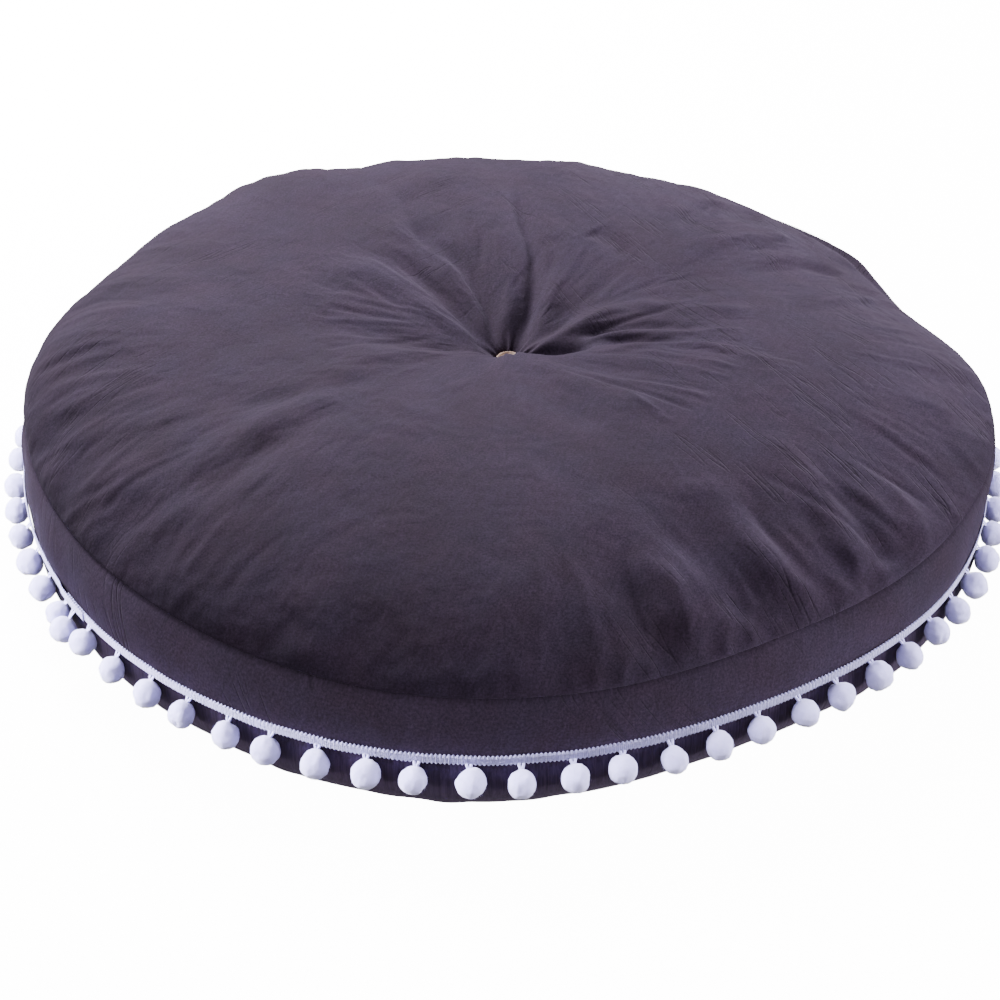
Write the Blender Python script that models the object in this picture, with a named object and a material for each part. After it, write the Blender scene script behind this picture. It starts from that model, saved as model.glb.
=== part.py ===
"""Round floor cushion: a boxed cotton cover with a zip at the back, a pompom trim over its lower
seam, a fibre-filled inner pad, and one tuft drawn down between two wooden buttons.

Metres, +Z up. The origin is on the floor under the cushion's centre, and the zip faces +Y.
"""

import math

import bmesh
import bpy
from mathutils import Matrix, Vector

# Cover: sizes of the outer surface, in metres
CUSHION_R = 0.388  # radius of the lower seam
UNDERSIDE_DEPTH = 0.052  # from the lower seam down to the floor
BAND_HEIGHT = 0.040
BAND_LEAN = 0.011  # how much smaller the upper seam's radius is
BAND_BULGE = 0.003
CROWN_RISE = 0.068  # from the upper seam up to where the crown would be without the tuft
CROWN_POWER = 2.6
CROWN_EDGE = 0.58
CONTACT_INSET = 0.040  # from the lower seam in to where the underside meets the floor
UNDERSIDE_POWER = 2.0
COVER_T = 0.0010
GAP = 0.0003  # between pieces that touch

# Tuft: the two buttons and the twine between them
BUTTON_R = 0.010
BUTTON_T = 0.0040
BUTTON_RIM = 0.0020
BUTTON_DISH = 0.0010
BUTTON_HOLE_R = 0.0010
BUTTON_HOLE_STEP = 0.0022  # from the button's centre to a hole, along X and along Y
SEAT_MARGIN = 0.0012  # flat cloth past the button's edge
TOP_SEAT_Z = 0.1145
BOTTOM_SEAT_Z = 0.030
TUFT_SPREAD = 0.100
TUFT_POWER = 0.85
TUFT_LIFT_R = 0.130  # where the underside leaves the floor round the tuft
TWINE_R = 0.0006
TWINE_BEND = 0.0010
STITCH_HOLE_R = 0.0042  # through the cloth and the pad, round the twine

# Inner pad
LINER_T = 0.0006
PAD_FIT = 0.0006  # between the cover and the pad, whose facets are coarser
PAD_ROOM = 0.0033  # extra room behind the band, for the zip's tapes and slider

# Zip, in the middle of the band at the back
ZIP_LENGTH = 0.675
ZIP_CENTRE_DEG = 90.0
ZIP_SLOT = 0.0070
ZIP_TAPE_W = 0.0125
ZIP_TAPE_T = 0.0006
COIL_W = 0.0025
COIL_T = 0.0018
COIL_SPLIT = 0.0012  # the line where the two coils meet
STOP_LENGTH = 0.0020
SLIDER_LENGTH = 0.010
SLIDER_CLEAR = 0.0008
SLIDER_PLATE_T = 0.0010
SLIDER_BACK_T = 0.0008
SLIDER_BACK_W = 0.0090
SLIDER_FLANGE_T = 0.0010
SLIDER_POST_T = 0.0005
SLIDER_TO_STOP = 0.0020
BRIDGE_LENGTH = 0.0060
BRIDGE_W = 0.0012
BRIDGE_BAR_T = 0.0010
BRIDGE_OPENING = 0.0022
PULL_RING_CLEAR = 0.00035
PULL_RING_T = 0.0009
PULL_W = 0.0060
PULL_T = 0.0010
PULL_LENGTH = 0.0150

# Pompom trim over the lower seam
TRIM_W = 0.0100
TRIM_T = 0.0012
TRIM_START_DEG = 213.0
TRIM_LAP = 0.026  # how far the tape's end lies over its start
TRIM_RAMP = 0.010
STRINGS = 12
POMPOM_PITCH = 0.034
POMPOM_R = 0.0096
POMPOM_OUT = 0.0089  # from the lower seam's radius out to a pompom's centre
POMPOM_DROP = 0.0140  # from the lower seam down to a pompom's centre
HEADER_R = 0.0007
STEM_R = 0.0012
LAP_POMPOM_OUT = 0.0150
LAP_POMPOM_DROP = 0.0210

# Worked out from the above
PER_STRING = max(2, round(2 * math.pi * CUSHION_R / (STRINGS * POMPOM_PITCH)))
FACETS = STRINGS * PER_STRING
PAD_FACETS = FACETS // 3
SEAT_R = BUTTON_R + SEAT_MARGIN
SEAM_UP_R = CUSHION_R - BAND_LEAN
SEAM_UP_Z = UNDERSIDE_DEPTH + BAND_HEIGHT
CONTACT_R = CUSHION_R - CONTACT_INSET
ZIP_HALF_DEG = math.degrees(ZIP_LENGTH / 2 / CUSHION_R)
BUTTON_SIDES = 24
HOLE_SIDES = 8

# Where the outline is sampled, as shares of each stretch
TOP_SHARES = (0.03, 0.1, 0.22, 0.4, 0.6, 0.78, 0.91, 0.98)
UNDERSIDE_SHARES = (0.42, 0.78, 1.0)
LIFT_SHARES = (0.28, 0.6, 1.0)

COTTON = ((0.105, 0.085, 0.118), 0.9, 0.0)
LINER_CLOTH = ((0.80, 0.79, 0.76), 0.9, 0.0)
FIBRE = ((0.88, 0.88, 0.86), 1.0, 0.0)
WHITE_YARN = ((0.82, 0.83, 0.90), 0.95, 0.0)
WOOD = ((0.55, 0.36, 0.22), 0.6, 0.0)
TWINE = ((0.60, 0.50, 0.38), 0.9, 0.0)
ZIP_CLOTH = ((0.085, 0.070, 0.095), 0.85, 0.0)
ZIP_NYLON = ((0.070, 0.060, 0.078), 0.45, 0.0)
ZIP_METAL = ((0.42, 0.41, 0.42), 0.35, 1.0)


def material_of(name, finish):
    colour, roughness, metallic = finish
    material = bpy.data.materials.new(name)
    material.use_nodes = True
    shader = material.node_tree.nodes["Principled BSDF"]
    shader.inputs["Base Color"].default_value = (*colour, 1.0)
    shader.inputs["Roughness"].default_value = roughness
    shader.inputs["Metallic"].default_value = metallic
    return material


def add_object(name, data, finish):
    obj = bpy.data.objects.new(name, data)
    bpy.context.scene.collection.objects.link(obj)
    data.materials.append(material_of(name, finish))
    return obj


def mesh_object(name, bm, finish, smooth_deg=40.0):
    """An object from a bmesh, with its normals out and its round faces smooth."""
    bmesh.ops.recalc_face_normals(bm, faces=bm.faces)
    mesh = bpy.data.meshes.new(name)
    bm.to_mesh(mesh)
    bm.free()
    mesh.shade_smooth()
    mesh.set_sharp_from_angle(angle=math.radians(smooth_deg))
    return add_object(name, mesh, finish)


# Outline: points (r, z) of the cover from the top's centre, out over the band, to the
# underside's centre


def top_z(r):
    """Height of the top cloth: the crown, blended down to the button's seat."""
    crown = SEAM_UP_Z + CROWN_RISE * max(0.0, 1 - (r / SEAM_UP_R) ** CROWN_POWER) ** CROWN_EDGE
    if r <= SEAT_R:
        return TOP_SEAT_Z
    edge_share = 1 - (r / SEAM_UP_R) ** 4
    pull = math.exp(-(((r - SEAT_R) / TUFT_SPREAD) ** TUFT_POWER)) * max(0.0, edge_share)
    return crown * (1 - pull) + TOP_SEAT_Z * pull


def underside_r(drop):
    """Radius of the underside's round edge, drop metres below the lower seam."""
    share = max(0.0, 1 - (drop / UNDERSIDE_DEPTH) ** UNDERSIDE_POWER) ** (1 / UNDERSIDE_POWER)
    return CONTACT_R + CONTACT_INSET * share


def band_point(share):
    """The band at a share of its height, 0 at the lower seam and 1 at the upper one."""
    bulge = BAND_BULGE * 4 * share * (1 - share)
    return (CUSHION_R - BAND_LEAN * share + bulge, UNDERSIDE_DEPTH + BAND_HEIGHT * share)


def top_points():
    radii = [STITCH_HOLE_R, SEAT_R]
    radii += [SEAT_R + (SEAM_UP_R - SEAT_R) * share for share in TOP_SHARES]
    return [(r, top_z(r)) for r in radii] + [band_point(1.0)]


def band_points():
    half_slot = ZIP_SLOT / 2 / BAND_HEIGHT
    shares = (0.5 + half_slot, 0.5 - half_slot, TRIM_W / 2 / BAND_HEIGHT, 0.0)
    return [band_point(share) for share in shares]


def underside_points():
    drops = [TRIM_W / 2]
    drops += [UNDERSIDE_DEPTH * share for share in UNDERSIDE_SHARES]
    points = [(underside_r(drop), UNDERSIDE_DEPTH - drop) for drop in drops]
    points.append((TUFT_LIFT_R, 0.0))
    for share in LIFT_SHARES:
        rise = 0.5 - 0.5 * math.cos(math.pi * share)
        points.append((TUFT_LIFT_R + (SEAT_R - TUFT_LIFT_R) * share, BOTTOM_SEAT_Z * rise))
    points.append((STITCH_HOLE_R, BOTTOM_SEAT_Z))
    return points


TOP_COUNT = len(top_points())
BAND_COUNT = len(band_points())
SLOT_TOP, SLOT_LOW = TOP_COUNT, TOP_COUNT + 1
SEAM_UP, SEAM_LOW = TOP_COUNT - 1, TOP_COUNT + BAND_COUNT - 1
MITRE_LIMIT = 2.0


def inward(a, b):
    """Unit normal of the segment a-b, pointing into the cushion."""
    length = math.dist(a, b)
    return Vector(((b[1] - a[1]) / length, (a[0] - b[0]) / length))


def offset_points(points, depths):
    """The polyline moved inwards by a depth for each point, keeping its segments parallel."""
    moved = []
    for i, point in enumerate(points):
        before = inward(points[i - 1], point) if i > 0 else None
        after = inward(point, points[i + 1]) if i < len(points) - 1 else None
        normal = ((before or after) + (after or before)).normalized()
        stretch = min(MITRE_LIMIT, 1 / normal.dot(before or after))
        step = normal * depths[i] * stretch
        moved.append((point[0] + step.x, point[1] + step.y))
    return moved


def layer(depth, extra_at_band=0.0):
    """The whole outline, depth metres inside the cover's surface, and deeper at the band."""
    points = top_points() + band_points() + underside_points()
    at_band = range(SEAM_UP, SEAM_LOW + 1)
    depths = [depth + (extra_at_band if i in at_band else 0.0) for i in range(len(points))]
    return offset_points(points, depths)


def along(points, distance):
    """The point that far along a polyline."""
    for a, b in zip(points, points[1:]):
        length = math.dist(a, b)
        if distance <= length:
            return tuple(Vector(a).lerp(Vector(b), distance / length))
        distance -= length
    return points[-1]


def clip(points, start, end):
    """The stretch of a polyline between two distances along it."""
    inside, travelled = [], 0.0
    for a, b in zip(points, points[1:]):
        if start < travelled < end:
            inside.append(a)
        travelled += math.dist(a, b)
    return [along(points, start), *inside, along(points, end)]


def trimmed(points, at_start, at_end):
    """A polyline with its ends cut back, to leave a gap at a seam."""
    length = sum(math.dist(a, b) for a, b in zip(points, points[1:]))
    return clip(points, at_start, length - at_end)


def cloth_section(first, last, at_start, at_end, outer=0.0, thickness=COVER_T):
    """Closed section of one panel: the outline's points first to last, that thick."""
    face = trimmed(layer(outer)[first : last + 1], at_start, at_end)
    back = trimmed(layer(outer + thickness)[first : last + 1], at_start, at_end)
    return face + back[::-1]


# Turned pieces: every ring has its corners at the same angles, so that gaps stay even


def facet_scale(angle_deg, facets):
    """Radius of a ring of flat facets at an angle, as a share of its corners' radius."""
    step = 360.0 / facets
    from_middle = math.radians((angle_deg % step) - step / 2)
    return math.cos(math.radians(step / 2)) / math.cos(from_middle)


def stations(start_deg, end_deg, facets):
    """The angles of a turned piece: its ends, and each of the ring's corners between."""
    step = 360.0 / facets
    margin = step / 100
    first = math.ceil((start_deg + margin) / step)
    last = math.floor((end_deg - margin) / step)
    return [start_deg, *(i * step for i in range(first, last + 1)), end_deg]


def turned(section, start_deg, end_deg, facets, shift=None):
    """A bmesh of the section (r, z) turned about Z between two angles, or all the way round."""
    whole = end_deg - start_deg >= 360.0 and shift is None
    angles = [i * 360.0 / facets for i in range(facets)] if whole else stations(start_deg, end_deg, facets)
    bm = bmesh.new()
    rings = []
    for angle in angles:
        scale = facet_scale(angle, facets)
        out = shift(angle) if shift else 0.0
        cos, sin = math.cos(math.radians(angle)), math.sin(math.radians(angle))
        radii = [(r + out) * scale for r, _ in section]
        rings.append([bm.verts.new((r * cos, r * sin, z)) for r, (_, z) in zip(radii, section)])
    pairs = list(zip(rings, rings[1:] + rings[:1])) if whole else list(zip(rings, rings[1:]))
    count = len(section)
    for a, b in pairs:
        for i in range(count):
            bm.faces.new((a[i], a[(i + 1) % count], b[(i + 1) % count], b[i]))
    if not whole:
        bm.faces.new(rings[0])
        bm.faces.new(rings[-1][::-1])
    return bm


def panel(name, section, finish, facets):
    return mesh_object(name, turned(section, 0.0, 360.0, facets), finish)


def arc_piece(name, section, start_deg, end_deg, finish):
    return mesh_object(name, turned(section, start_deg, end_deg, FACETS), finish)


def arc_deg(length):
    """The angle that a length along the lower seam takes."""
    return math.degrees(length / CUSHION_R)


def make_cover():
    half = GAP / 2
    last = len(layer(0.0)) - 1
    panel("cover_top_panel", cloth_section(0, SEAM_UP, 0.0, half), COTTON, FACETS)
    panel("cover_bottom_panel", cloth_section(SEAM_LOW, last, half, 0.0), COTTON, FACETS)
    zip_start = ZIP_CENTRE_DEG - ZIP_HALF_DEG
    zip_end = ZIP_CENTRE_DEG + ZIP_HALF_DEG
    gap_deg = arc_deg(GAP)
    front = cloth_section(SEAM_UP, SEAM_LOW, half, half)
    arc_piece("side_band", front, zip_end, zip_start + 360.0, COTTON)
    upper = cloth_section(SEAM_UP, SLOT_TOP, half, 0.0)
    lower = cloth_section(SLOT_LOW, SEAM_LOW, 0.0, half)
    arc_piece("zip_band_upper", upper, zip_start + gap_deg, zip_end - gap_deg, COTTON)
    arc_piece("zip_band_lower", lower, zip_start + gap_deg, zip_end - gap_deg, COTTON)


def make_pad():
    """The pad's two cloth halves, which meet half way up the band, and its filling."""
    outer = COVER_T + PAD_FIT
    inner = outer + LINER_T
    face, back = layer(outer, PAD_ROOM), layer(inner, PAD_ROOM)
    half = GAP / 2
    for name, first, last, cut in (
        ("pad_liner_top", 0, SLOT_TOP, (0.0, half)),
        ("pad_liner_bottom", SLOT_LOW, len(face) - 1, (half, 0.0)),
    ):
        front = trimmed(face[first : last + 1], *cut)
        rear = trimmed(back[first : last + 1], *cut)
        panel(name, front + rear[::-1], LINER_CLOTH, PAD_FACETS)
    panel("fibre_fill", layer(inner + GAP, PAD_ROOM), FIBRE, PAD_FACETS)


# Tuft


def cylinder(bm, radius, z_low, z_high, sides, centre=(0.0, 0.0)):
    middle = Matrix.Translation((*centre, (z_low + z_high) / 2))
    return bmesh.ops.create_cone(
        bm, cap_ends=True, segments=sides, radius1=radius, radius2=radius, depth=z_high - z_low, matrix=middle
    )


def button_holes():
    return [(BUTTON_HOLE_STEP * x, BUTTON_HOLE_STEP * y) for x in (-1, 1) for y in (-1, 1)]


def hide_cutter(cutter):
    cutter.hide_render = True
    cutter.display_type = "WIRE"


def combine(obj, other, operation):
    modifier = obj.modifiers.new(operation.lower(), "BOOLEAN")
    modifier.object = other
    modifier.operation = operation
    modifier.solver = "EXACT"
    hide_cutter(other)


def make_button(name, z_low, face_up):
    """A turned wooden button with a raised rim and four holes."""
    bm = bmesh.new()
    cylinder(bm, BUTTON_R, 0.0, BUTTON_T, BUTTON_SIDES)
    top = [face for face in bm.faces if face.normal.z > 0.5]
    bmesh.ops.inset_region(bm, faces=top, thickness=BUTTON_RIM)
    for vert in top[0].verts:
        vert.co.z -= BUTTON_DISH
    obj = mesh_object(name, bm, WOOD)
    cutter_bm = bmesh.new()
    for centre in button_holes():
        cylinder(cutter_bm, BUTTON_HOLE_R, -BUTTON_T, 2 * BUTTON_T, HOLE_SIDES, centre)
    cutter = mesh_object(name + "_holes", cutter_bm, WOOD)
    for part in (obj, cutter):
        if not face_up:
            part.rotation_euler = (math.pi, 0.0, 0.0)
        part.location.z = z_low if face_up else z_low + BUTTON_T
    combine(obj, cutter, "DIFFERENCE")


def twine_loop_points(x_half, z_low, z_high):
    """A closed upright loop with rounded corners, as points (x, z)."""
    corners = ((1, z_high, 0), (-1, z_high, 90), (-1, z_low, 180), (1, z_low, 270))
    points = []
    for side, z, first_deg in corners:
        centre_x = side * (x_half - TWINE_BEND)
        centre_z = z - TWINE_BEND if z == z_high else z + TWINE_BEND
        for turn in (0, 45, 90):
            angle = math.radians(first_deg + turn)
            points.append((centre_x + TWINE_BEND * math.cos(angle), centre_z + TWINE_BEND * math.sin(angle)))
    return points


def make_twine(name, y, z_low, z_high):
    curve = bpy.data.curves.new(name, "CURVE")
    curve.dimensions = "3D"
    curve.bevel_depth = TWINE_R
    curve.bevel_resolution = 1
    points = twine_loop_points(BUTTON_HOLE_STEP, z_low, z_high)
    spline = curve.splines.new("POLY")
    spline.points.add(len(points) - 1)
    spline.use_cyclic_u = True
    for target, (x, z) in zip(spline.points, points):
        target.co = (x, y, z, 1.0)
    add_object(name, curve, TWINE)


def make_tuft():
    top_low = TOP_SEAT_Z + GAP
    bottom_low = BOTTOM_SEAT_Z - GAP - BUTTON_T
    make_button("button_top", top_low, True)
    make_button("button_bottom", bottom_low, False)
    over = BUTTON_T - BUTTON_DISH + GAP + TWINE_R
    z_high = top_low + over
    z_low = BOTTOM_SEAT_Z - GAP - over
    make_twine("tufting_twine_front", -BUTTON_HOLE_STEP, z_low, z_high)
    make_twine("tufting_twine_back", BUTTON_HOLE_STEP, z_low, z_high)


# Zip: a frame on the band's slot, u up along the cloth and w out from it


def zip_point(u, w):
    """A point (r, z) near the zip's middle line."""
    outline = layer(0.0)
    high, low = Vector(outline[SLOT_TOP]), Vector(outline[SLOT_LOW])
    up = (high - low).normalized()
    out = Vector((up.y, -up.x))
    return tuple((high + low) / 2 + up * u + out * w)


def box_section(u_low, u_high, w_low, w_high):
    corners = ((u_low, w_low), (u_high, w_low), (u_high, w_high), (u_low, w_high))
    return [zip_point(u, w) for u, w in corners]


def zip_tape_section(side):
    """One tape behind the band: side is 1 above the zip's line and -1 below it."""
    near, far = COIL_SPLIT / 2, ZIP_TAPE_W
    faces = []
    for depth in (COVER_T + GAP, COVER_T + GAP + ZIP_TAPE_T):
        band = layer(depth)[SEAM_UP : SEAM_LOW + 1]
        middle = math.dist(band[0], band[1]) + math.dist(band[1], band[2]) / 2
        reach = (middle - far, middle - near) if side > 0 else (middle + near, middle + far)
        faces.append(clip(band, *reach))
    return faces[0] + faces[1][::-1]


COIL_LOW_W = -COVER_T  # the coils stand this far in from the cover's surface
COIL_HIGH_W = COIL_LOW_W + COIL_T
SLIDER_FACE_W = COIL_HIGH_W + SLIDER_CLEAR + SLIDER_PLATE_T
SLIDER_BACK_W_OUT = -(COVER_T + GAP + ZIP_TAPE_T + SLIDER_CLEAR)
BAR_W = SLIDER_FACE_W + BRIDGE_OPENING + BRIDGE_BAR_T / 2  # the bridge bar's centre


def slider_section():
    """The slider's I-shaped section: face plate with flanges, post, and back plate."""
    flange_in = ZIP_SLOT / 2 + GAP
    flange_out = flange_in + SLIDER_FLANGE_T
    plate_low = COIL_HIGH_W + SLIDER_CLEAR
    post, back = SLIDER_POST_T / 2, SLIDER_BACK_W / 2
    right = (
        (flange_out, SLIDER_FACE_W),
        (flange_out, SLIDER_CLEAR),
        (flange_in, SLIDER_CLEAR),
        (flange_in, plate_low),
        (post, plate_low),
        (post, SLIDER_BACK_W_OUT),
        (back, SLIDER_BACK_W_OUT),
        (back, SLIDER_BACK_W_OUT - SLIDER_BACK_T),
    )
    left = [(-u, w) for u, w in reversed(right)]
    return [zip_point(u, w) for u, w in (*right, *left)]


def on_zip(angle_deg, along_zip, u, w):
    """A world point by the zip: along_zip metres from an angle, on the flat facet there."""
    r, z = zip_point(u, w)
    radial = Vector((math.cos(math.radians(angle_deg)), math.sin(math.radians(angle_deg)), 0.0))
    tangent = Vector((-radial.y, radial.x, 0.0))
    return radial * r * facet_scale(angle_deg, FACETS) + tangent * along_zip + Vector((0.0, 0.0, z))


def prism(bm, polygon, place_low, place_high):
    """A closed prism: the polygon placed by two functions, with faces between."""
    low = [bm.verts.new(place_low(*point)) for point in polygon]
    high = [bm.verts.new(place_high(*point)) for point in polygon]
    bm.faces.new(low)
    bm.faces.new(high[::-1])
    count = len(polygon)
    for i in range(count):
        bm.faces.new((low[i], low[(i + 1) % count], high[(i + 1) % count], high[i]))


def slider_angle():
    """Where the closed zip's slider stands, at the zip's left end seen from behind."""
    to_slider = STOP_LENGTH + GAP + SLIDER_TO_STOP + SLIDER_LENGTH / 2
    wanted = ZIP_CENTRE_DEG + ZIP_HALF_DEG - arc_deg(to_slider)
    step = 360.0 / FACETS
    middle = (math.floor(wanted / step) + 0.5) * step
    room = step / 2 - arc_deg(SLIDER_LENGTH)
    return middle + max(-room, min(room, wanted - middle))


def make_slider():
    angle = slider_angle()
    half = arc_deg(SLIDER_LENGTH / 2)
    body = arc_piece("zip_slider", slider_section(), angle - half, angle + half, ZIP_METAL)
    reach, leg = BRIDGE_LENGTH / 2, BRIDGE_BAR_T
    root = SLIDER_FACE_W - SLIDER_PLATE_T / 2
    under, over = BAR_W - BRIDGE_BAR_T / 2, BAR_W + BRIDGE_BAR_T / 2
    arch = (
        (-reach, root),
        (-reach, over),
        (reach, over),
        (reach, root),
        (reach - leg, root),
        (reach - leg, under),
        (leg - reach, under),
        (leg - reach, root),
    )
    bm = bmesh.new()
    prism(
        bm,
        arch,
        lambda t, w: on_zip(angle, t, -BRIDGE_W / 2, w),
        lambda t, w: on_zip(angle, t, BRIDGE_W / 2, w),
    )
    bridge = mesh_object("zip_bridge_shape", bm, ZIP_METAL)
    combine(body, bridge, "UNION")


RING_SIDES = 12
PULL_POINT = 0.35  # the share of the pull's width that its lower end keeps


def pull_place(angle_deg, along_zip, out, down):
    """A world point on the hanging pull, out from the bridge bar's centre and below it."""
    bar = on_zip(angle_deg, along_zip, 0.0, BAR_W)
    radial = Vector((math.cos(math.radians(angle_deg)), math.sin(math.radians(angle_deg)), 0.0))
    return bar + radial * out - Vector((0.0, 0.0, down))


def make_pull():
    """The pull: a ring round the slider's bridge, and a flat tab that hangs from it."""
    angle = slider_angle()
    ring_in = math.hypot(BRIDGE_W, BRIDGE_BAR_T) / 2 + PULL_RING_CLEAR
    ring_out = ring_in + PULL_RING_T
    half_w, half_t = PULL_W / 2, PULL_T / 2
    tab_top = (ring_in + ring_out) / 2
    shoulder = tab_top + PULL_T
    tab = (
        (-half_t, tab_top),
        (half_t, tab_top),
        (half_w, shoulder + half_t),
        (half_w, PULL_LENGTH - half_w),
        (half_w * PULL_POINT, PULL_LENGTH),
        (-half_w * PULL_POINT, PULL_LENGTH),
        (-half_w, PULL_LENGTH - half_w),
        (-half_w, shoulder + half_t),
    )
    bm = bmesh.new()
    prism(
        bm,
        tab,
        lambda t, down: pull_place(angle, t, -half_t, down),
        lambda t, down: pull_place(angle, t, half_t, down),
    )
    obj = mesh_object("zip_pull", bm, ZIP_METAL)
    ring = bmesh.new()
    turns = [2 * math.pi * i / RING_SIDES for i in range(RING_SIDES)]
    loops = []
    for side in (-half_t, half_t):
        for radius in (ring_in, ring_out):
            places = [pull_place(angle, side, radius * math.cos(a), radius * math.sin(a)) for a in turns]
            loops.append([ring.verts.new(place) for place in places])
    low_in, low_out, high_in, high_out = loops
    for a, b in ((low_in, low_out), (low_out, high_out), (high_out, high_in), (high_in, low_in)):
        for i in range(RING_SIDES):
            j = (i + 1) % RING_SIDES
            ring.faces.new((a[i], a[j], b[j], b[i]))
    combine(obj, mesh_object("zip_ring_shape", ring, ZIP_METAL), "UNION")


def make_zip():
    start = ZIP_CENTRE_DEG - ZIP_HALF_DEG + arc_deg(GAP)
    end = ZIP_CENTRE_DEG + ZIP_HALF_DEG - arc_deg(GAP)
    stop = arc_deg(STOP_LENGTH)
    near, far = COIL_SPLIT / 2, COIL_SPLIT / 2 + COIL_W
    coil_start, coil_end = start + stop + arc_deg(GAP), end - stop - arc_deg(GAP)
    for name, side in (("upper", 1), ("lower", -1)):
        arc_piece("zip_tape_" + name, zip_tape_section(side), start, end, ZIP_CLOTH)
        low, high = sorted((side * near, side * far))
        coil = box_section(low, high, COIL_LOW_W, COIL_HIGH_W)
        arc_piece("zip_coil_" + name, coil, coil_start, coil_end, ZIP_NYLON)
    block = box_section(-far, far, COIL_LOW_W, COIL_HIGH_W)
    arc_piece("zip_stop_start", block, start, start + stop, ZIP_METAL)
    arc_piece("zip_stop_end", block, end - stop, end, ZIP_METAL)
    make_slider()
    make_pull()


# Trim


def make_trim_tape():
    """The tape, sewn on round the lower seam, with its end lying over its start."""
    points = layer(-GAP)[SEAM_LOW - 1 : SEAM_LOW + 2]
    outer = layer(-GAP - TRIM_T)[SEAM_LOW - 1 : SEAM_LOW + 2]
    section = outer + points[::-1]
    lap_start = TRIM_START_DEG + 360.0
    ramp = arc_deg(TRIM_RAMP)
    lift = TRIM_T + GAP

    def shift(angle):
        return lift * max(0.0, min(1.0, (angle - (lap_start - 2 * ramp)) / ramp))

    end = lap_start + arc_deg(TRIM_LAP)
    mesh_object("trim_tape", turned(section, TRIM_START_DEG, end, FACETS, shift), WHITE_YARN)


def pompom_place(angle_deg, out, drop):
    """A world point beside the lower seam, at the corner radius of the ring there."""
    r = CUSHION_R * facet_scale(angle_deg, FACETS) + out
    angle = math.radians(angle_deg)
    return Vector((r * math.cos(angle), r * math.sin(angle), UNDERSIDE_DEPTH - drop))


HEADER_OUT = HEADER_R + GAP / 2
HEADER_DROP = TRIM_W / 2 + 2 * GAP + HEADER_R
BALL_SIDES = 8
BALL_RINGS = 4
STEM_SIDES = 4


def add_ball(bm, centre, angle_deg):
    turn = Matrix.Rotation(math.radians(angle_deg), 4, "Z")
    place = Matrix.Translation(centre) @ turn
    bmesh.ops.create_uvsphere(bm, u_segments=BALL_SIDES, v_segments=BALL_RINGS, radius=POMPOM_R, matrix=place)


def add_stem(bm, start, end):
    """A short round stem from the header thread to inside the ball."""
    line = end - start
    place = Matrix.Translation((start + end) / 2) @ line.to_track_quat("Z", "Y").to_matrix().to_4x4()
    bmesh.ops.create_cone(
        bm, cap_ends=True, segments=STEM_SIDES, radius1=STEM_R, radius2=STEM_R, depth=line.length, matrix=place
    )


def header_section():
    """A square section for the thread that the stems hang from, as (r, z)."""
    r, z = CUSHION_R + HEADER_OUT, UNDERSIDE_DEPTH - HEADER_DROP
    return [
        (r - HEADER_R, z - HEADER_R),
        (r + HEADER_R, z - HEADER_R),
        (r + HEADER_R, z + HEADER_R),
        (r - HEADER_R, z + HEADER_R),
    ]


def pompom_spots(string):
    """Each pompom of a string: its angle, and how far out and down its centre lies."""
    step = 360.0 / FACETS
    first = string * PER_STRING
    spots = [((first + i) * step, POMPOM_OUT, POMPOM_DROP) for i in range(PER_STRING)]
    lap_angle = TRIM_START_DEG + arc_deg(TRIM_LAP) - step / 4
    if spots[0][0] - step / 2 < lap_angle < spots[-1][0] + step / 2:
        spots.append((lap_angle, LAP_POMPOM_OUT, LAP_POMPOM_DROP))
    return spots


def make_pompoms(string):
    """One length of the trim's pompoms: header thread, stems and balls in one piece."""
    step = 360.0 / FACETS
    start = (string * PER_STRING - 0.5) * step + arc_deg(GAP) / 2
    end = start + PER_STRING * step - arc_deg(GAP)
    name = f"pompoms_{string + 1:02d}"
    header = mesh_object(name, turned(header_section(), start, end, FACETS), WHITE_YARN)
    collection = bpy.data.collections.new(name + "_shapes")
    bpy.context.scene.collection.children.link(collection)
    for i, (angle, out, drop) in enumerate(pompom_spots(string)):
        centre = pompom_place(angle, out, drop)
        root = pompom_place(angle, HEADER_OUT, HEADER_DROP)
        for kind, add in (
            ("ball", lambda bm: add_ball(bm, centre, angle)),
            ("stem", lambda bm: add_stem(bm, root, root.lerp(centre, 0.6))),
        ):
            bm = bmesh.new()
            add(bm)
            shape = mesh_object(f"{name}_{kind}_{i}", bm, WHITE_YARN)
            bpy.context.scene.collection.objects.unlink(shape)
            collection.objects.link(shape)
            hide_cutter(shape)
    union = header.modifiers.new("union", "BOOLEAN")
    union.operand_type = "COLLECTION"
    union.collection = collection
    union.operation = "UNION"
    union.solver = "EXACT"


def main():
    for obj in list(bpy.data.objects):
        bpy.data.objects.remove(obj)
    make_cover()
    make_pad()
    make_tuft()
    make_zip()
    make_trim_tape()
    for string in range(STRINGS):
        make_pompoms(string)


main()
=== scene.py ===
"""Round floor cushion: cloth, trim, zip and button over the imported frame."""

import math

import bmesh
import bpy
import numpy as np
from mathutils import Matrix, Vector


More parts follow.
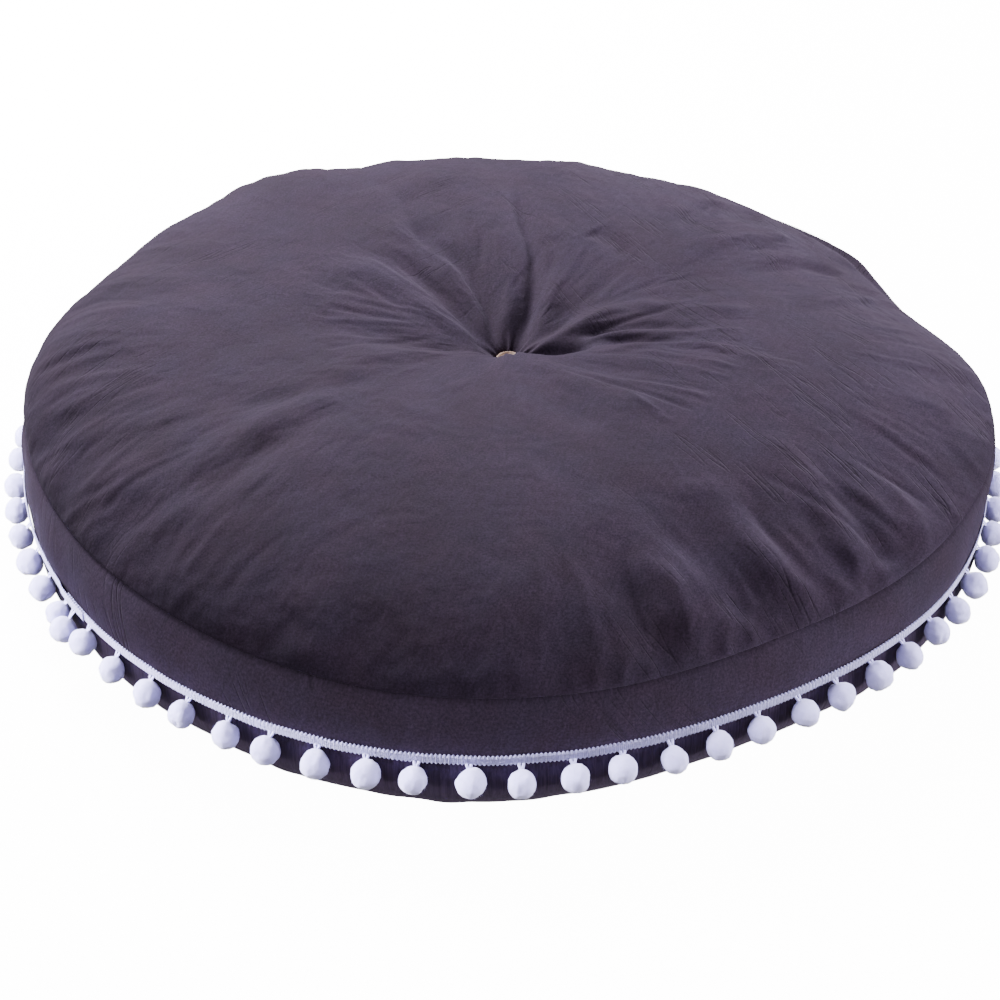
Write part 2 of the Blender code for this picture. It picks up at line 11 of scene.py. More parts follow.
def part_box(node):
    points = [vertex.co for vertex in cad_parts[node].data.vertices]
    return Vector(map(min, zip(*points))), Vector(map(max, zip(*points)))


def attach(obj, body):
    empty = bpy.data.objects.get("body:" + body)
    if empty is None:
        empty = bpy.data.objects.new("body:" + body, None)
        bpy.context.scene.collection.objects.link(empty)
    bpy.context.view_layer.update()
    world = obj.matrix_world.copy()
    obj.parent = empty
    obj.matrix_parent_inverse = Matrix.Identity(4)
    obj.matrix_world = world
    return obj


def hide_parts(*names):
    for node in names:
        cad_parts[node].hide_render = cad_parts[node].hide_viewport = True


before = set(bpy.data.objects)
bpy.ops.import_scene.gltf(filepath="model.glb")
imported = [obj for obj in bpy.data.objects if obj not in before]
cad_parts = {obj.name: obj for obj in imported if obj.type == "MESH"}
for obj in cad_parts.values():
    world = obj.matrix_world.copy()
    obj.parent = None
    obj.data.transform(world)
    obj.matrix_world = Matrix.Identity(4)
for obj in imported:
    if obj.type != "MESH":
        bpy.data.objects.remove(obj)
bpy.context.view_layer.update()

# Sizes taken from the frame, in metres

top_low, top_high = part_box("cover_top_panel")
bottom_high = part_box("cover_bottom_panel")[1]
SEAM_UP_R = top_high.x
SEAM_UP_Z = top_low.z
SEAM_LOW_R = bottom_high.x
SEAM_LOW_Z = bottom_high.z
button_low, button_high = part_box("button_top")
under_low, under_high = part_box("button_bottom")
BUTTON_R = button_high.x
TOP_SEAT_Z = button_low.z - 0.0003
BOTTOM_SEAT_Z = under_high.z + 0.0003

# The crown and the underside, as in the CAD
CROWN_RISE = 0.068
CROWN_POWER = 2.6
CROWN_EDGE = 0.58
TUFT_SPREAD = 0.100
TUFT_POWER = 0.85
CONTACT_INSET = 0.040
TUFT_LIFT_R = 0.130
BAND_BULGE = 0.003
HOLE_STEP = 0.0022  # from a button's centre to a hole, along X and along Y
ZIP_SLOT = 0.0070
ZIP_FROM_DEG, ZIP_TO_DEG = 40.16, 139.84

TAU = 2 * math.pi


# Noise, on arrays


def lattice(seed, shape=(64, 64)):
    return np.random.default_rng(seed).uniform(-1, 1, shape)


def ease(t):
    return t * t * t * (t * (t * 6 - 15) + 10)


def noise_1d(x, seed, period=0):
    """Smooth noise along x, in -1 to 1; with a period it joins up after that many steps."""
    table = np.random.default_rng(seed).uniform(-1, 1, period or 997)
    i = np.floor(x).astype(int)
    t = ease(x - i)
    return table[i % len(table)] * (1 - t) + table[(i + 1) % len(table)] * t


def noise_2d(x, y, seed):
    table = lattice(seed)
    i, j = np.floor(x).astype(int), np.floor(y).astype(int)
    s, t = ease(x - i), ease(y - j)
    a = table[i % 64, j % 64] * (1 - s) + table[(i + 1) % 64, j % 64] * s
    b = table[i % 64, (j + 1) % 64] * (1 - s) + table[(i + 1) % 64, (j + 1) % 64] * s
    return a * (1 - t) + b * t


def bump(deg, centre, width):
    """1 at an azimuth, falling smoothly to 0 a few widths away."""
    away = (np.asarray(deg) - centre + 180.0) % 360.0 - 180.0
    return np.exp(-((away / width) ** 2))


def step_between(x, low, high):
    return ease(np.clip((np.asarray(x, float) - low) / (high - low), 0.0, 1.0))


# The plan: the cushion isn't a true circle, except along the zip, whose slider runs on one


def zip_calm(deg):
    """0 along the zip and 1 away from it."""
    away = np.abs((np.asarray(deg) - 90.0 + 180.0) % 360.0 - 180.0)
    return step_between(away, 51.0, 61.0)


def plan_offset(deg):
    """How far the seams stand out from a circle."""
    out = -0.0090 * bump(deg, 297, 19) - 0.0090 * bump(deg, 350, 18)
    out -= 0.0260 * bump(deg, 17, 15)
    out += 0.0020 * bump(deg, 260, 20) - 0.0030 * bump(deg, 207, 24) + 0.0010 * bump(deg, 170, 20)
    return out * zip_calm(deg)


def lean_out(deg):
    """How far the upper seam stands out beyond the lower one's outline."""
    out = 0.0155 * bump(deg, 352, 24) - 0.0035 * bump(deg, 231, 24) - 0.0020 * bump(deg, 300, 24)
    out += 0.0080 * bump(deg, 178, 20)
    return out * zip_calm(deg)


def slump(deg):
    """Where the band's top has slumped in and down: radius and height lost at the upper seam."""
    return 0.0055 * bump(deg, 36, 16), 0.0120 * bump(deg, 36, 19)


def seam_up_drop(deg):
    """How the upper seam rises and falls."""
    wave = 0.0010 * noise_1d(np.asarray(deg) / 15.0, 5, 24) + 0.0030 * bump(deg, 232, 26)
    return wave * zip_calm(deg)


def shoulder(deg):
    """The crown's edge power: low is full, high is slack."""
    slack = 0.22 * bump(deg, 26, 36) + 0.10 * bump(deg, 320, 30)
    full = 0.13 * bump(deg, 145, 40) + 0.04 * bump(deg, 230, 45)
    return CROWN_EDGE + slack - full


def edge_swell(deg):
    """How far the crown's edge bulges or sags."""
    left_back = 0.0105 * bump(deg, 138, 24) + 0.0170 * bump(deg, 180, 17) + 0.0040 * bump(deg, 127, 9)
    return left_back - 0.0060 * bump(deg, 27, 23) - 0.0060 * bump(deg, 64, 12) - 0.0080 * bump(deg, 51, 4)


def crown_lift(deg):
    """How far the whole crown stands higher or lower."""
    back = 0.0080 * bump(deg, 138, 36) + 0.0030 * bump(deg, 95, 24)
    return back - 0.0150 * bump(deg, 26, 30) - 0.0040 * bump(deg, 62, 10) + 0.002 * bump(deg, 235, 40)


# Folds in the top: from a point to a point, height, and half-width at each end.
# Each one stands for a fold that the tuft or the seam draws in the cloth.

TOP_FOLDS = (
    # behind the button: a long crease and its neighbours
    ((0.006, 0.016), (0.022, 0.262), -0.0055, 0.005, 0.010),
    ((-0.004, 0.018), (-0.016, 0.240), 0.0035, 0.006, 0.022),
    ((0.016, 0.018), (0.062, 0.225), 0.0035, 0.007, 0.022),
    ((-0.008, 0.014), (-0.075, 0.170), -0.0045, 0.006, 0.013),
    ((-0.011, 0.012), (-0.105, 0.185), 0.0035, 0.006, 0.015),
    ((-0.045, 0.100), (-0.130, 0.260), -0.0050, 0.009, 0.014),
    ((-0.013, 0.008), (-0.140, 0.140), -0.0050, 0.006, 0.018),
    ((-0.016, 0.004), (-0.205, 0.125), 0.0036, 0.010, 0.022),
    ((0.070, 0.160), (0.110, 0.125), -0.0032, 0.012, 0.016),
    ((0.020, 0.014), (0.120, 0.120), -0.0025, 0.007, 0.020),
    # right of the button: a pocket, and ridges that fan out of it
    ((0.012, -0.004), (0.070, -0.016), -0.0085, 0.006, 0.009),
    ((0.018, 0.004), (0.120, 0.050), 0.0050, 0.006, 0.012),
    ((0.100, 0.042), (0.230, 0.045), 0.0045, 0.010, 0.016),
    ((0.060, 0.010), (0.165, 0.012), -0.0048, 0.006, 0.009),
    ((0.062, 0.002), (0.150, -0.010), 0.0030, 0.005, 0.008),
    ((0.075, -0.008), (0.150, -0.026), -0.0040, 0.006, 0.008),
    ((0.080, -0.022), (0.250, -0.062), 0.0026, 0.006, 0.008),
    ((0.030, -0.022), (0.175, -0.125), -0.0050, 0.010, 0.022),
    ((0.024, -0.030), (0.110, -0.170), 0.0045, 0.012, 0.024),
    ((0.018, -0.035), (0.060, -0.175), -0.0042, 0.012, 0.022),
    # in front of the button
    ((-0.020, -0.012), (-0.150, -0.075), 0.0030, 0.010, 0.024),
    ((-0.030, -0.006), (-0.240, -0.015), -0.0040, 0.012, 0.026),
    ((-0.100, -0.080), (-0.250, -0.110), -0.0032, 0.014, 0.020),
    ((-0.120, -0.110), (-0.300, -0.190), 0.0030, 0.014, 0.018),
    ((-0.110, -0.125), (-0.290, -0.225), -0.0034, 0.014, 0.016),
    # folds that the gathered seam sends inwards, front right
    ((0.205, -0.312), (0.110, -0.170), 0.0037, 0.013, 0.020),
    ((0.228, -0.298), (0.150, -0.205), -0.0046, 0.010, 0.016),
    ((0.165, -0.335), (0.090, -0.225), -0.0032, 0.010, 0.016),
    ((0.262, -0.266), (0.150, -0.120), 0.0037, 0.011, 0.018),
    ((0.272, -0.252), (0.215, -0.195), -0.0059, 0.011, 0.010),
    ((0.245, -0.282), (0.195, -0.215), -0.0032, 0.008, 0.012),
    ((0.300, -0.222), (0.215, -0.145), 0.0022, 0.009, 0.014),
    ((0.105, -0.358), (0.060, -0.290), -0.0030, 0.010, 0.014),
    ((0.130, -0.350), (0.085, -0.275), 0.0024, 0.010, 0.014),
    # left, where long shallow folds come in from the rim
    ((-0.358, 0.030), (-0.205, 0.028), 0.0010, 0.008, 0.012),
    ((-0.355, 0.052), (-0.200, 0.062), -0.0010, 0.008, 0.014),
    ((-0.350, 0.078), (-0.190, 0.085), 0.0010, 0.008, 0.013),
    ((-0.335, 0.120), (-0.180, 0.100), -0.0010, 0.009, 0.014),
    ((-0.320, 0.150), (-0.150, 0.125), 0.0010, 0.009, 0.014),
    ((-0.357, -0.050), (-0.240, -0.030), -0.0007, 0.008, 0.014),
    ((-0.345, -0.105), (-0.170, -0.075), -0.0012, 0.009, 0.013),
    ((-0.338, -0.128), (-0.190, -0.085), 0.0009, 0.007, 0.010),
    ((-0.330, -0.148), (-0.200, -0.100), -0.0010, 0.008, 0.012),
    ((-0.318, -0.172), (-0.185, -0.115), 0.0009, 0.007, 0.011),
    ((-0.305, -0.195), (-0.190, -0.140), -0.0007, 0.008, 0.012),
    # back right
    ((0.200, 0.280), (0.130, 0.180), -0.0045, 0.010, 0.018),
    ((0.250, 0.235), (0.150, 0.130), 0.0040, 0.010, 0.018),
    ((0.295, 0.180), (0.190, 0.105), -0.0040, 0.010, 0.018),
    ((0.335, 0.120), (0.220, 0.060), 0.0035, 0.010, 0.016),
)

# Broad swells: centre, height and half-width
TOP_SWELLS = (
    ((-0.120, -0.160), 0.0060, 0.090),
    ((-0.230, 0.020), 0.0040, 0.080),
    ((-0.060, 0.250), 0.0060, 0.045),
    ((0.055, 0.268), 0.0040, 0.040),
    ((-0.170, 0.215), 0.0045, 0.060),
    ((0.160, -0.090), 0.0040, 0.070),
    ((0.190, 0.120), -0.0040, 0.070),
    ((0.255, -0.030), -0.0020, 0.060),
    ((0.010, -0.270), 0.0030, 0.070),
    ((-0.005, 0.320), -0.0030, 0.025),
)


def fold_height(x, y):
    """The folds' and swells' height at points of the plan."""
    total = np.zeros_like(x)
    for (ax, ay), (bx, by), height, width_a, width_b in TOP_FOLDS:
        length = math.hypot(bx - ax, by - ay)
        ux, uy = (bx - ax) / length, (by - ay) / length
        along = ((x - ax) * ux + (y - ay) * uy) / length
        wander = 0.05 * length * np.sin(along * 5.0 + 40 * ax)
        across = (x - ax) * -uy + (y - ay) * ux + wander
        width = width_a + (width_b - width_a) * np.clip(along, 0, 1)
        ends = step_between(along, -0.06, 0.14) * (1 - step_between(along, 0.55, 1.08))
        total += height * ends * np.exp(-((across / width) ** 2))
    for (cx, cy), height, width in TOP_SWELLS:
        total += height * np.exp(-(((x - cx) ** 2 + (y - cy) ** 2) / width**2))
    return total


def loose_pleats(x, y):
    """Narrow pleats: from the rim at the left and front right, and round the tuft."""
    rng = np.random.default_rng(19)
    total = np.zeros_like(x)
    groups = (
        # from, to, step (degrees), outer radius, length, height, half-width
        (150, 238, 2.7, 0.362, (0.050, 0.150), (0.0004, 0.0010), (0.0030, 0.0048)),
        (272, 334, 2.9, 0.362, (0.040, 0.110), (0.0008, 0.0016), (0.0032, 0.0050)),
        (334, 372, 5.0, 0.355, (0.060, 0.160), (0.0006, 0.0012), (0.0034, 0.0050)),
        (50, 150, 5.5, 0.350, (0.050, 0.140), (0.0007, 0.0014), (0.0036, 0.0060)),
        (0, 200, 8.0, 0.150, (0.060, 0.120), (0.0006, 0.0013), (0.0024, 0.0042)),
        (310, 360, 5.0, 0.190, (0.080, 0.140), (0.0008, 0.0017), (0.0026, 0.0044)),
        (200, 310, 14.0, 0.120, (0.050, 0.090), (0.0004, 0.0008), (0.0026, 0.0044)),
    )
    for low, high, step, outer, lengths, heights, widths in groups:
        deg = float(low)
        sign = 1
        while deg < high:
            at = math.radians(deg + rng.uniform(-0.3, 0.3) * step)
            skew = at + math.pi + rng.uniform(-0.16, 0.16)
            r = outer * rng.uniform(0.97, 1.0)
            ax, ay = r * math.cos(at), r * math.sin(at)
            ux, uy = math.cos(skew), math.sin(skew)
            length = rng.uniform(*lengths)
            height = rng.uniform(*heights) * sign
            width = rng.uniform(*widths)
            curl = rng.uniform(-0.012, 0.012)
            along = ((x - ax) * ux + (y - ay) * uy) / length
            across = (x - ax) * -uy + (y - ay) * ux + curl * along * along
            ends = step_between(along, -0.05, 0.12) * (1 - step_between(along, 0.35, 1.05))
            total += height * ends * np.exp(-((across / width) ** 2))
            sign = -sign if rng.uniform() < 0.75 else sign
            deg += step * rng.uniform(0.7, 1.3)
    return total


def gathers(deg, from_seam):
    """Height of the puckers that the gathered edge makes, from_seam metres in from the seam."""
    front_right = 1.25 * bump(deg, 308, 17) + 0.8 * bump(deg, 285, 12) + 0.7 * bump(deg, 331, 10)
    left = 0.30 * bump(deg, 180, 24) + 0.15 * bump(deg, 212, 16)
    back = 0.5 * bump(deg, 60, 45) + 0.5 * bump(deg, 125, 40)
    amount = 0.10 + front_right + left + back
    arc = np.radians(deg) * SEAM_UP_R
    drift = 0.02 * noise_1d(from_seam / 0.05, 11)
    fine = noise_1d((arc + drift) / (TAU * SEAM_UP_R / 260), 21, 260)
    mid = noise_1d((arc - drift) / (TAU * SEAM_UP_R / 120), 22, 120)
    wide = noise_1d((arc + 2 * drift) / (TAU * SEAM_UP_R / 52), 23, 52)
    rise = 1 - np.exp(-from_seam / 0.0035)
    height = 0.0017 * (0.35 - np.abs(fine)) * np.exp(-from_seam / 0.012)
    past_seam = 1 - np.exp(-from_seam / 0.006)
    height = height + 0.0052 * (0.40 - np.abs(mid)) * np.exp(-from_seam / 0.026) * past_seam
    height = height + 0.0030 * wide * np.exp(-(((from_seam - 0.055) / 0.055) ** 2))
    return amount * rise * height


def tuft_pleats(deg, r):
    """Fine pleats in the cloth round the button."""
    turn = np.asarray(deg) / 360.0
    fine = noise_1d(turn * 34, 31, 34)
    wide = noise_1d(turn * 15, 32, 15)
    near = np.exp(-np.maximum(r - BUTTON_R, 0) / 0.020) * step_between(r, 0.0095, 0.014)
    mid = np.exp(-(((r - 0.045) / 0.035) ** 2))
    return 0.0016 * fine * near + 0.0022 * wide * mid


def button_lip(deg, r):
    """Cloth that stands up close round the button, most of all in front of it."""
    front = 0.12 + 0.88 * bump(deg, 282, 72)
    past = np.maximum(r - BUTTON_R - 0.0003, 0.0)
    return front * (0.0160 * (1 - np.exp(-past / 0.0016)) * np.exp(-past / 0.050))


# Outline of the top, as a table of radius against the distance along the cloth


def crown_z(r, edge_power):
    return SEAM_UP_Z + CROWN_RISE * np.maximum(0.0, 1 - (r / SEAM_UP_R) ** CROWN_POWER) ** edge_power


def top_z(r, edge_power, lift):
    seat_r = BUTTON_R + 0.0012
    crown = crown_z(r, edge_power) + lift * step_between(r, 0.03, 0.16) * (1 - (r / SEAM_UP_R) ** 6)
    away = np.maximum(r - seat_r, 0.0)
    pull = np.exp(-((away / TUFT_SPREAD) ** TUFT_POWER)) * (1 - (r / SEAM_UP_R) ** 4)
    return crown * (1 - pull) + TOP_SEAT_Z * pull


def top_outline():
    r = SEAM_UP_R * (1 - (1 - np.linspace(0, 1, 4000)) ** 2)
    z = top_z(r, CROWN_EDGE, 0.0)
    return r, np.concatenate([[0], np.cumsum(np.hypot(np.diff(r), np.diff(z)))])


OUT_R, OUT_S = top_outline()
TOP_LENGTH = OUT_S[-1]
RING_STEP = 0.0050
SPOKES = 720
EASE_FROM_Z = 0.1570  # the height from which the top is eased down, to stay inside the size limit
EASE_BEND = 0.003


def top_rings():
    """Distances along the cloth for the rings, fine near the button and the seam."""
    near = [0.0035, 0.0070, 0.0095, 0.0112, 0.0125, 0.0140, 0.0160, 0.0185, 0.0215, 0.0250, 0.0290, 0.0335]
    edge = [0.0, 0.0009, 0.0020, 0.0036, 0.0058, 0.0088, 0.0126]
    last = TOP_LENGTH - 0.0170
    count = round((last - 0.0380) / RING_STEP)
    body = [0.0380 + (last - 0.0380) * i / count for i in range(count + 1)]
    return near + body + [TOP_LENGTH - e for e in reversed(edge)]


def spokes_at(s):
    return SPOKES if s > 0.150 else SPOKES // 2 if s > 0.050 else SPOKES // 4


def web_faces(counts):
    """Faces between rings of points; where a ring has half as many, triangles join them."""
    faces, start = [], [0]
    for count in counts:
        start.append(start[-1] + count)
    for k in range(len(counts) - 1):
        a, b, na, nb = start[k], start[k + 1], counts[k], counts[k + 1]
        if na == nb:
            for i in range(na):
                j = (i + 1) % na
                faces.append((a + i, b + i, b + j, a + j))
        else:
            for i in range(na):
                j = (i + 1) % na
                m = 2 * i
                faces.append((a + i, b + m, b + m + 1))
                faces.append((a + i, b + m + 1, a + j))
                faces.append((a + j, b + m + 1, b + (m + 2) % nb))
    return faces


def top_surface(s, deg):
    """Points of the top cloth before it is settled, at distances along it and azimuths."""
    r = np.interp(s, OUT_S, OUT_R)
    edge = shoulder(deg)
    lift = crown_lift(deg)
    z = top_z(r, edge, lift)
    dr = 1e-4
    inner = np.maximum(r - dr, 1e-5)
    slope = (z - top_z(inner, edge, lift)) / (r - inner)
    slope = np.clip(slope, -6.0, 6.0)
    nr, nz = -slope / np.hypot(1, slope), 1 / np.hypot(1, slope)
    from_seam = TOP_LENGTH - s
    x, y = r * np.cos(np.radians(deg)), r * np.sin(np.radians(deg))
    calm = step_between(from_seam, 0.0, 0.014)
    height = fold_height(x, y) * calm * step_between(r, 0.010, 0.016)
    height += gathers(deg, from_seam) + tuft_pleats(deg, r)
    swelling = np.exp(-(((from_seam - 0.055) / 0.062) ** 2)) * (1 - np.exp(-from_seam / 0.012))
    height += edge_swell(deg) * swelling
    height += 0.0016 * noise_2d(x / 0.035 + 9, y / 0.035 + 9, 41) * calm * step_between(r, 0.02, 0.06)
    share = (r / SEAM_UP_R) ** 3
    height = height + loose_pleats(x, y) * calm
    slump_in, slump_down = slump(deg)
    r_out = r + height * nr + (plan_offset(deg) + lean_out(deg) - slump_in) * share
    z_out = z + height * nz + (seam_up_drop(deg) - slump_down) * share + button_lip(deg, r)
    return r_out * np.cos(np.radians(deg)), r_out * np.sin(np.radians(deg)), z_out


SEAM_DEPTH = 0.0027
SEAM_WIDTH = 0.0011


def seam_pinch(distance):
    return SEAM_DEPTH * np.exp(-distance / SEAM_WIDTH)


def mesh_from(name, points, faces, uvs=None):
    mesh = bpy.data.meshes.new(name)
    mesh.from_pydata([tuple(p) for p in points], [], faces)
    mesh.validate()
    mesh.update()
    if uvs is not None:
        layer = mesh.uv_layers.new(name="cloth")
        loops = np.empty(len(mesh.loops), np.int32)
        mesh.loops.foreach_get("vertex_index", loops)
        layer.data.foreach_set("uv", np.asarray(uvs, np.float32)[loops].ravel())
    mesh.shade_smooth()
    obj = bpy.data.objects.new(name, mesh)
    bpy.context.scene.collection.objects.link(obj)
    return obj


def grid_faces(rows, columns, round_columns=True, round_rows=False, outward=True):
    """Quads between rows of points; a round direction joins its last row or column to its first."""
    faces = []
    for k in range(rows if round_rows else rows - 1):
        a, b = k * columns, (k + 1) % rows * columns
        for i in range(columns if round_columns else columns - 1):
            j = (i + 1) % columns
            faces.append((a + i, a + j, b + j, b + i) if outward else (a + i, b + i, b + j, a + j))
    return faces


def coords(mesh):
    flat = np.empty(len(mesh.vertices) * 3, np.float32)
    mesh.vertices.foreach_get("co", flat)
    return flat.reshape(-1, 3).astype(float)


def set_coords(mesh, points):
    mesh.vertices.foreach_set("co", np.asarray(points, np.float32).ravel())
    mesh.update()


def subdivide(obj, levels=1):
    modifier = obj.modifiers.new("smooth", "SUBSURF")
    modifier.levels = modifier.render_levels = levels
    modifier.use_limit_surface = False
    return modifier


def settle(obj, flat, held, frames, pressure, cap):
    """Lets the cloth settle under the filling's pressure, from its sewn shape towards its cut one."""
    start = coords(obj.data)
    obj.shape_key_add(name="sewn")
    cut = obj.shape_key_add(name="cut")
    cut.data.foreach_set("co", np.asarray(flat, np.float32).ravel())
    cut.value = 0.0
    group = obj.vertex_groups.new(name="held")
    for weight in (1.0, 0.6, 0.25):
        indices = [int(i) for i in np.flatnonzero(np.isclose(held, weight))]
        if indices:
            group.add(indices, weight, "REPLACE")
    modifier = obj.modifiers.new("cloth", "CLOTH")
    cloth = modifier.settings
    cloth.quality = 5
    cloth.mass = 0.15
    cloth.tension_stiffness = 22
    cloth.compression_stiffness = 10
    cloth.shear_stiffness = 8
    cloth.bending_stiffness = 0.6
    cloth.tension_damping = 12
    cloth.compression_damping = 12
    cloth.shear_damping = 8
    cloth.bending_damping = 2
    cloth.air_damping = 3
    cloth.rest_shape_key = cut
    cloth.vertex_group_mass = "held"
    cloth.pin_stiffness = 30
    cloth.use_pressure = True
    cloth.uniform_pressure_force = pressure
    cloth.effector_weights.gravity = 0
    modifier.collision_settings.use_collision = False
    modifier.collision_settings.use_self_collision = False
    modifier.point_cache.frame_start = 1
    modifier.point_cache.frame_end = frames + 1
    scene = bpy.context.scene
    for number in range(1, frames + 1):
        scene.frame_set(number)
    settled = obj.evaluated_get(bpy.context.evaluated_depsgraph_get())
    end = coords(settled.data)
    obj.modifiers.remove(modifier)
    obj.shape_key_clear()
    scene.frame_set(1)
    move = end - start
    length = np.linalg.norm(move, axis=1, keepdims=True)
    limited = cap * np.tanh(length / cap)
    return start + move * np.divide(limited, length, out=np.zeros_like(length), where=length > 1e-9)


def make_top():
    """The top panel, settled by the simulation, with its edge turned in under the seam."""
    rings = top_rings()
    counts = [spokes_at(s) for s in rings]
    s_all = np.concatenate([np.full(n, s) for s, n in zip(rings, counts)])
    deg_all = np.concatenate([np.arange(n) * 360.0 / n for n in counts])
    x, y, z = top_surface(s_all, deg_all)
    points = np.stack([x, y, z], axis=1)
    ease_out = 0.990 + 0.012 * bump(deg_all, 306, 30)
    turn = np.radians(deg_all)
    flat = np.stack([s_all * ease_out * np.cos(turn), s_all * ease_out * np.sin(turn), 0 * s_all], axis=1)
    obj = mesh_from("cover_top_cloth", points, web_faces(counts), flat[:, :2])
    held = np.zeros(len(points))
    held[(s_all < 0.0130) | (s_all > TOP_LENGTH - 0.0010)] = 1.0
    held[(s_all >= 0.0130) & (s_all < 0.0300)] = 0.6
    held[(s_all >= 0.0300) & (s_all < 0.0450)] = 0.25
    points = settle(obj, flat, held, 18, 1.4, 0.006)
    set_coords(obj.data, points)
    # eased down where it would stand above the size limit over the CAD's box, not as the photo shows
    proud = np.maximum(points[:, 2] - EASE_FROM_Z, 0.0)
    points[:, 2] -= proud**2 / (proud + EASE_BEND)
    # pinched in along the seam, then turned inside it
    r = np.hypot(points[:, 0], points[:, 1])
    pinch = seam_pinch(TOP_LENGTH - s_all)
    points[:, 0] -= points[:, 0] / r * pinch
    points[:, 1] -= points[:, 1] / r * pinch
    set_coords(obj.data, points)
    edge = points[-SPOKES:]
    turned = []
    for inward, down in ((0.0016, 0.0002), (0.0060, 0.0030)):
        ring = edge.copy()
        ring_r = np.hypot(ring[:, 0], ring[:, 1])
        ring[:, :2] *= ((ring_r - inward) / ring_r)[:, None]
        ring[:, 2] -= down
        turned.append(ring)
    all_points = np.concatenate([points, *turned])
    more = np.concatenate([flat[:, :2], flat[-SPOKES:, :2] * 1.004, flat[-SPOKES:, :2] * 1.018])
    bpy.data.objects.remove(obj)
    obj = mesh_from("cover_top_cloth", all_points, web_faces([*counts, SPOKES, SPOKES]), more)
    subdivide(obj)
    return obj, (points, counts, rings)


# Band


def band_outline(share):
    """Radius and height of the band at a share of its height, 0 at the lower seam."""
    bulge = BAND_BULGE * 4 * share * (1 - share)
    r = SEAM_LOW_R + (SEAM_UP_R - SEAM_LOW_R) * share + bulge
    return r, SEAM_LOW_Z + (SEAM_UP_Z - SEAM_LOW_Z) * share


def band_surface(share, deg):
    """The band's cloth, at a share of its height, 0 at the lower seam."""
    r, z = band_outline(share)
    height = SEAM_UP_Z - SEAM_LOW_Z
    arc = np.radians(deg) * SEAM_LOW_R
    below = (1 - share) * height
    gathered = 0.35 + bump(deg, 306, 22) + 0.5 * bump(deg, 180, 25)
    ripple = 0.0011 * noise_1d(arc / (TAU * SEAM_LOW_R / 120), 22, 120) * np.exp(-below / 0.010)
    ripple = ripple * (1 - np.exp(-below / 0.003)) * gathered
    free = np.sin(math.pi * np.clip(share, 0, 1))
    soft = 0.0016 * noise_2d(arc / 0.045 + 3, share * 0.9 + 7, 51) * free
    lean = 0.0004 * noise_2d(arc / 0.022 + share * 2.0, share * 1.2 + 7, 52) * free
    out = (ripple + soft + lean) * zip_calm(deg)
    out = out - seam_pinch(below) - 0.5 * seam_pinch(share * height)
    slump_in, slump_down = slump(deg)
    slumped = step_between(share, 0.56, 1.0)
    r_out = r + out + plan_offset(deg) + lean_out(deg) * share - slump_in * slumped
    z_out = z + seam_up_drop(deg) * share - slump_down * slumped
    return r_out, z_out


def strip(name, surface, low, high, rows, from_deg, to_deg, hems=True):
    """A strip of the band between two shares of its height, with its edges turned in."""
    columns = round(SPOKES * (to_deg - from_deg) / 360.0)
    degs = from_deg + (to_deg - from_deg) * np.arange(columns + 1) / columns
    shares = list(low + (high - low) * (0.5 - 0.5 * np.cos(np.pi * np.linspace(0, 1, rows))))
    grid, uv = [], []

    def add_row(share, inward, shift):
        r, z = surface(np.full(len(degs), share), degs)
        r = r - inward
        turn = np.radians(degs)
        grid.append(np.stack([r * np.cos(turn), r * np.sin(turn), z + shift], axis=1))
        uv.append(np.stack([turn * SEAM_LOW_R, np.full(len(degs), share * 0.04 + shift - inward)], axis=1))

    if hems:
        add_row(low, 0.0060, 0.0016)
        add_row(low, 0.0014, 0.0001)
    for share in shares:
        add_row(share, 0.0, 0.0)
    if hems:
        add_row(high, 0.0014, -0.0001)
        add_row(high, 0.0060, -0.0016)
    faces = grid_faces(len(grid), len(degs), round_columns=False)
    obj = mesh_from(name, np.concatenate(grid), faces, np.concatenate(uv))
    subdivide(obj)
    return obj


# Underside


def underside_power(deg):
    """How square the underside's edge is: 2 is round."""
    return 2.1 + 1.4 * bump(deg, 262, 34) + 1.1 * bump(deg, 207, 16) + 1.7 * bump(deg, 326, 20)


def underside_surface(t, deg):
    """The underside's rounded edge, t from 0 at the seam to 1 on the floor, with soft waves."""
    power = underside_power(deg)
    angle = t * math.pi / 2
    cos, sin = np.maximum(np.cos(angle), 0) ** (2 / power), np.sin(angle) ** (2 / power)
    arc = np.radians(deg) * SEAM_LOW_R
    wave = 0.0022 * noise_2d(arc / 0.060 + 11, t * 1.5 + 3, 61)
    wave = wave + 0.0011 * noise_2d(arc / 0.020 + 2, t * 2.2, 62)
    wave = (wave + 0.0030 * bump(deg, 268, 40)) * np.sin(math.pi * np.clip(t, 0, 1)) ** 0.8
    r = SEAM_LOW_R - CONTACT_INSET + CONTACT_INSET * cos + plan_offset(deg) + wave
    r = r - 0.5 * seam_pinch(t * 0.06)
    return r, SEAM_LOW_Z * (1 - sin)


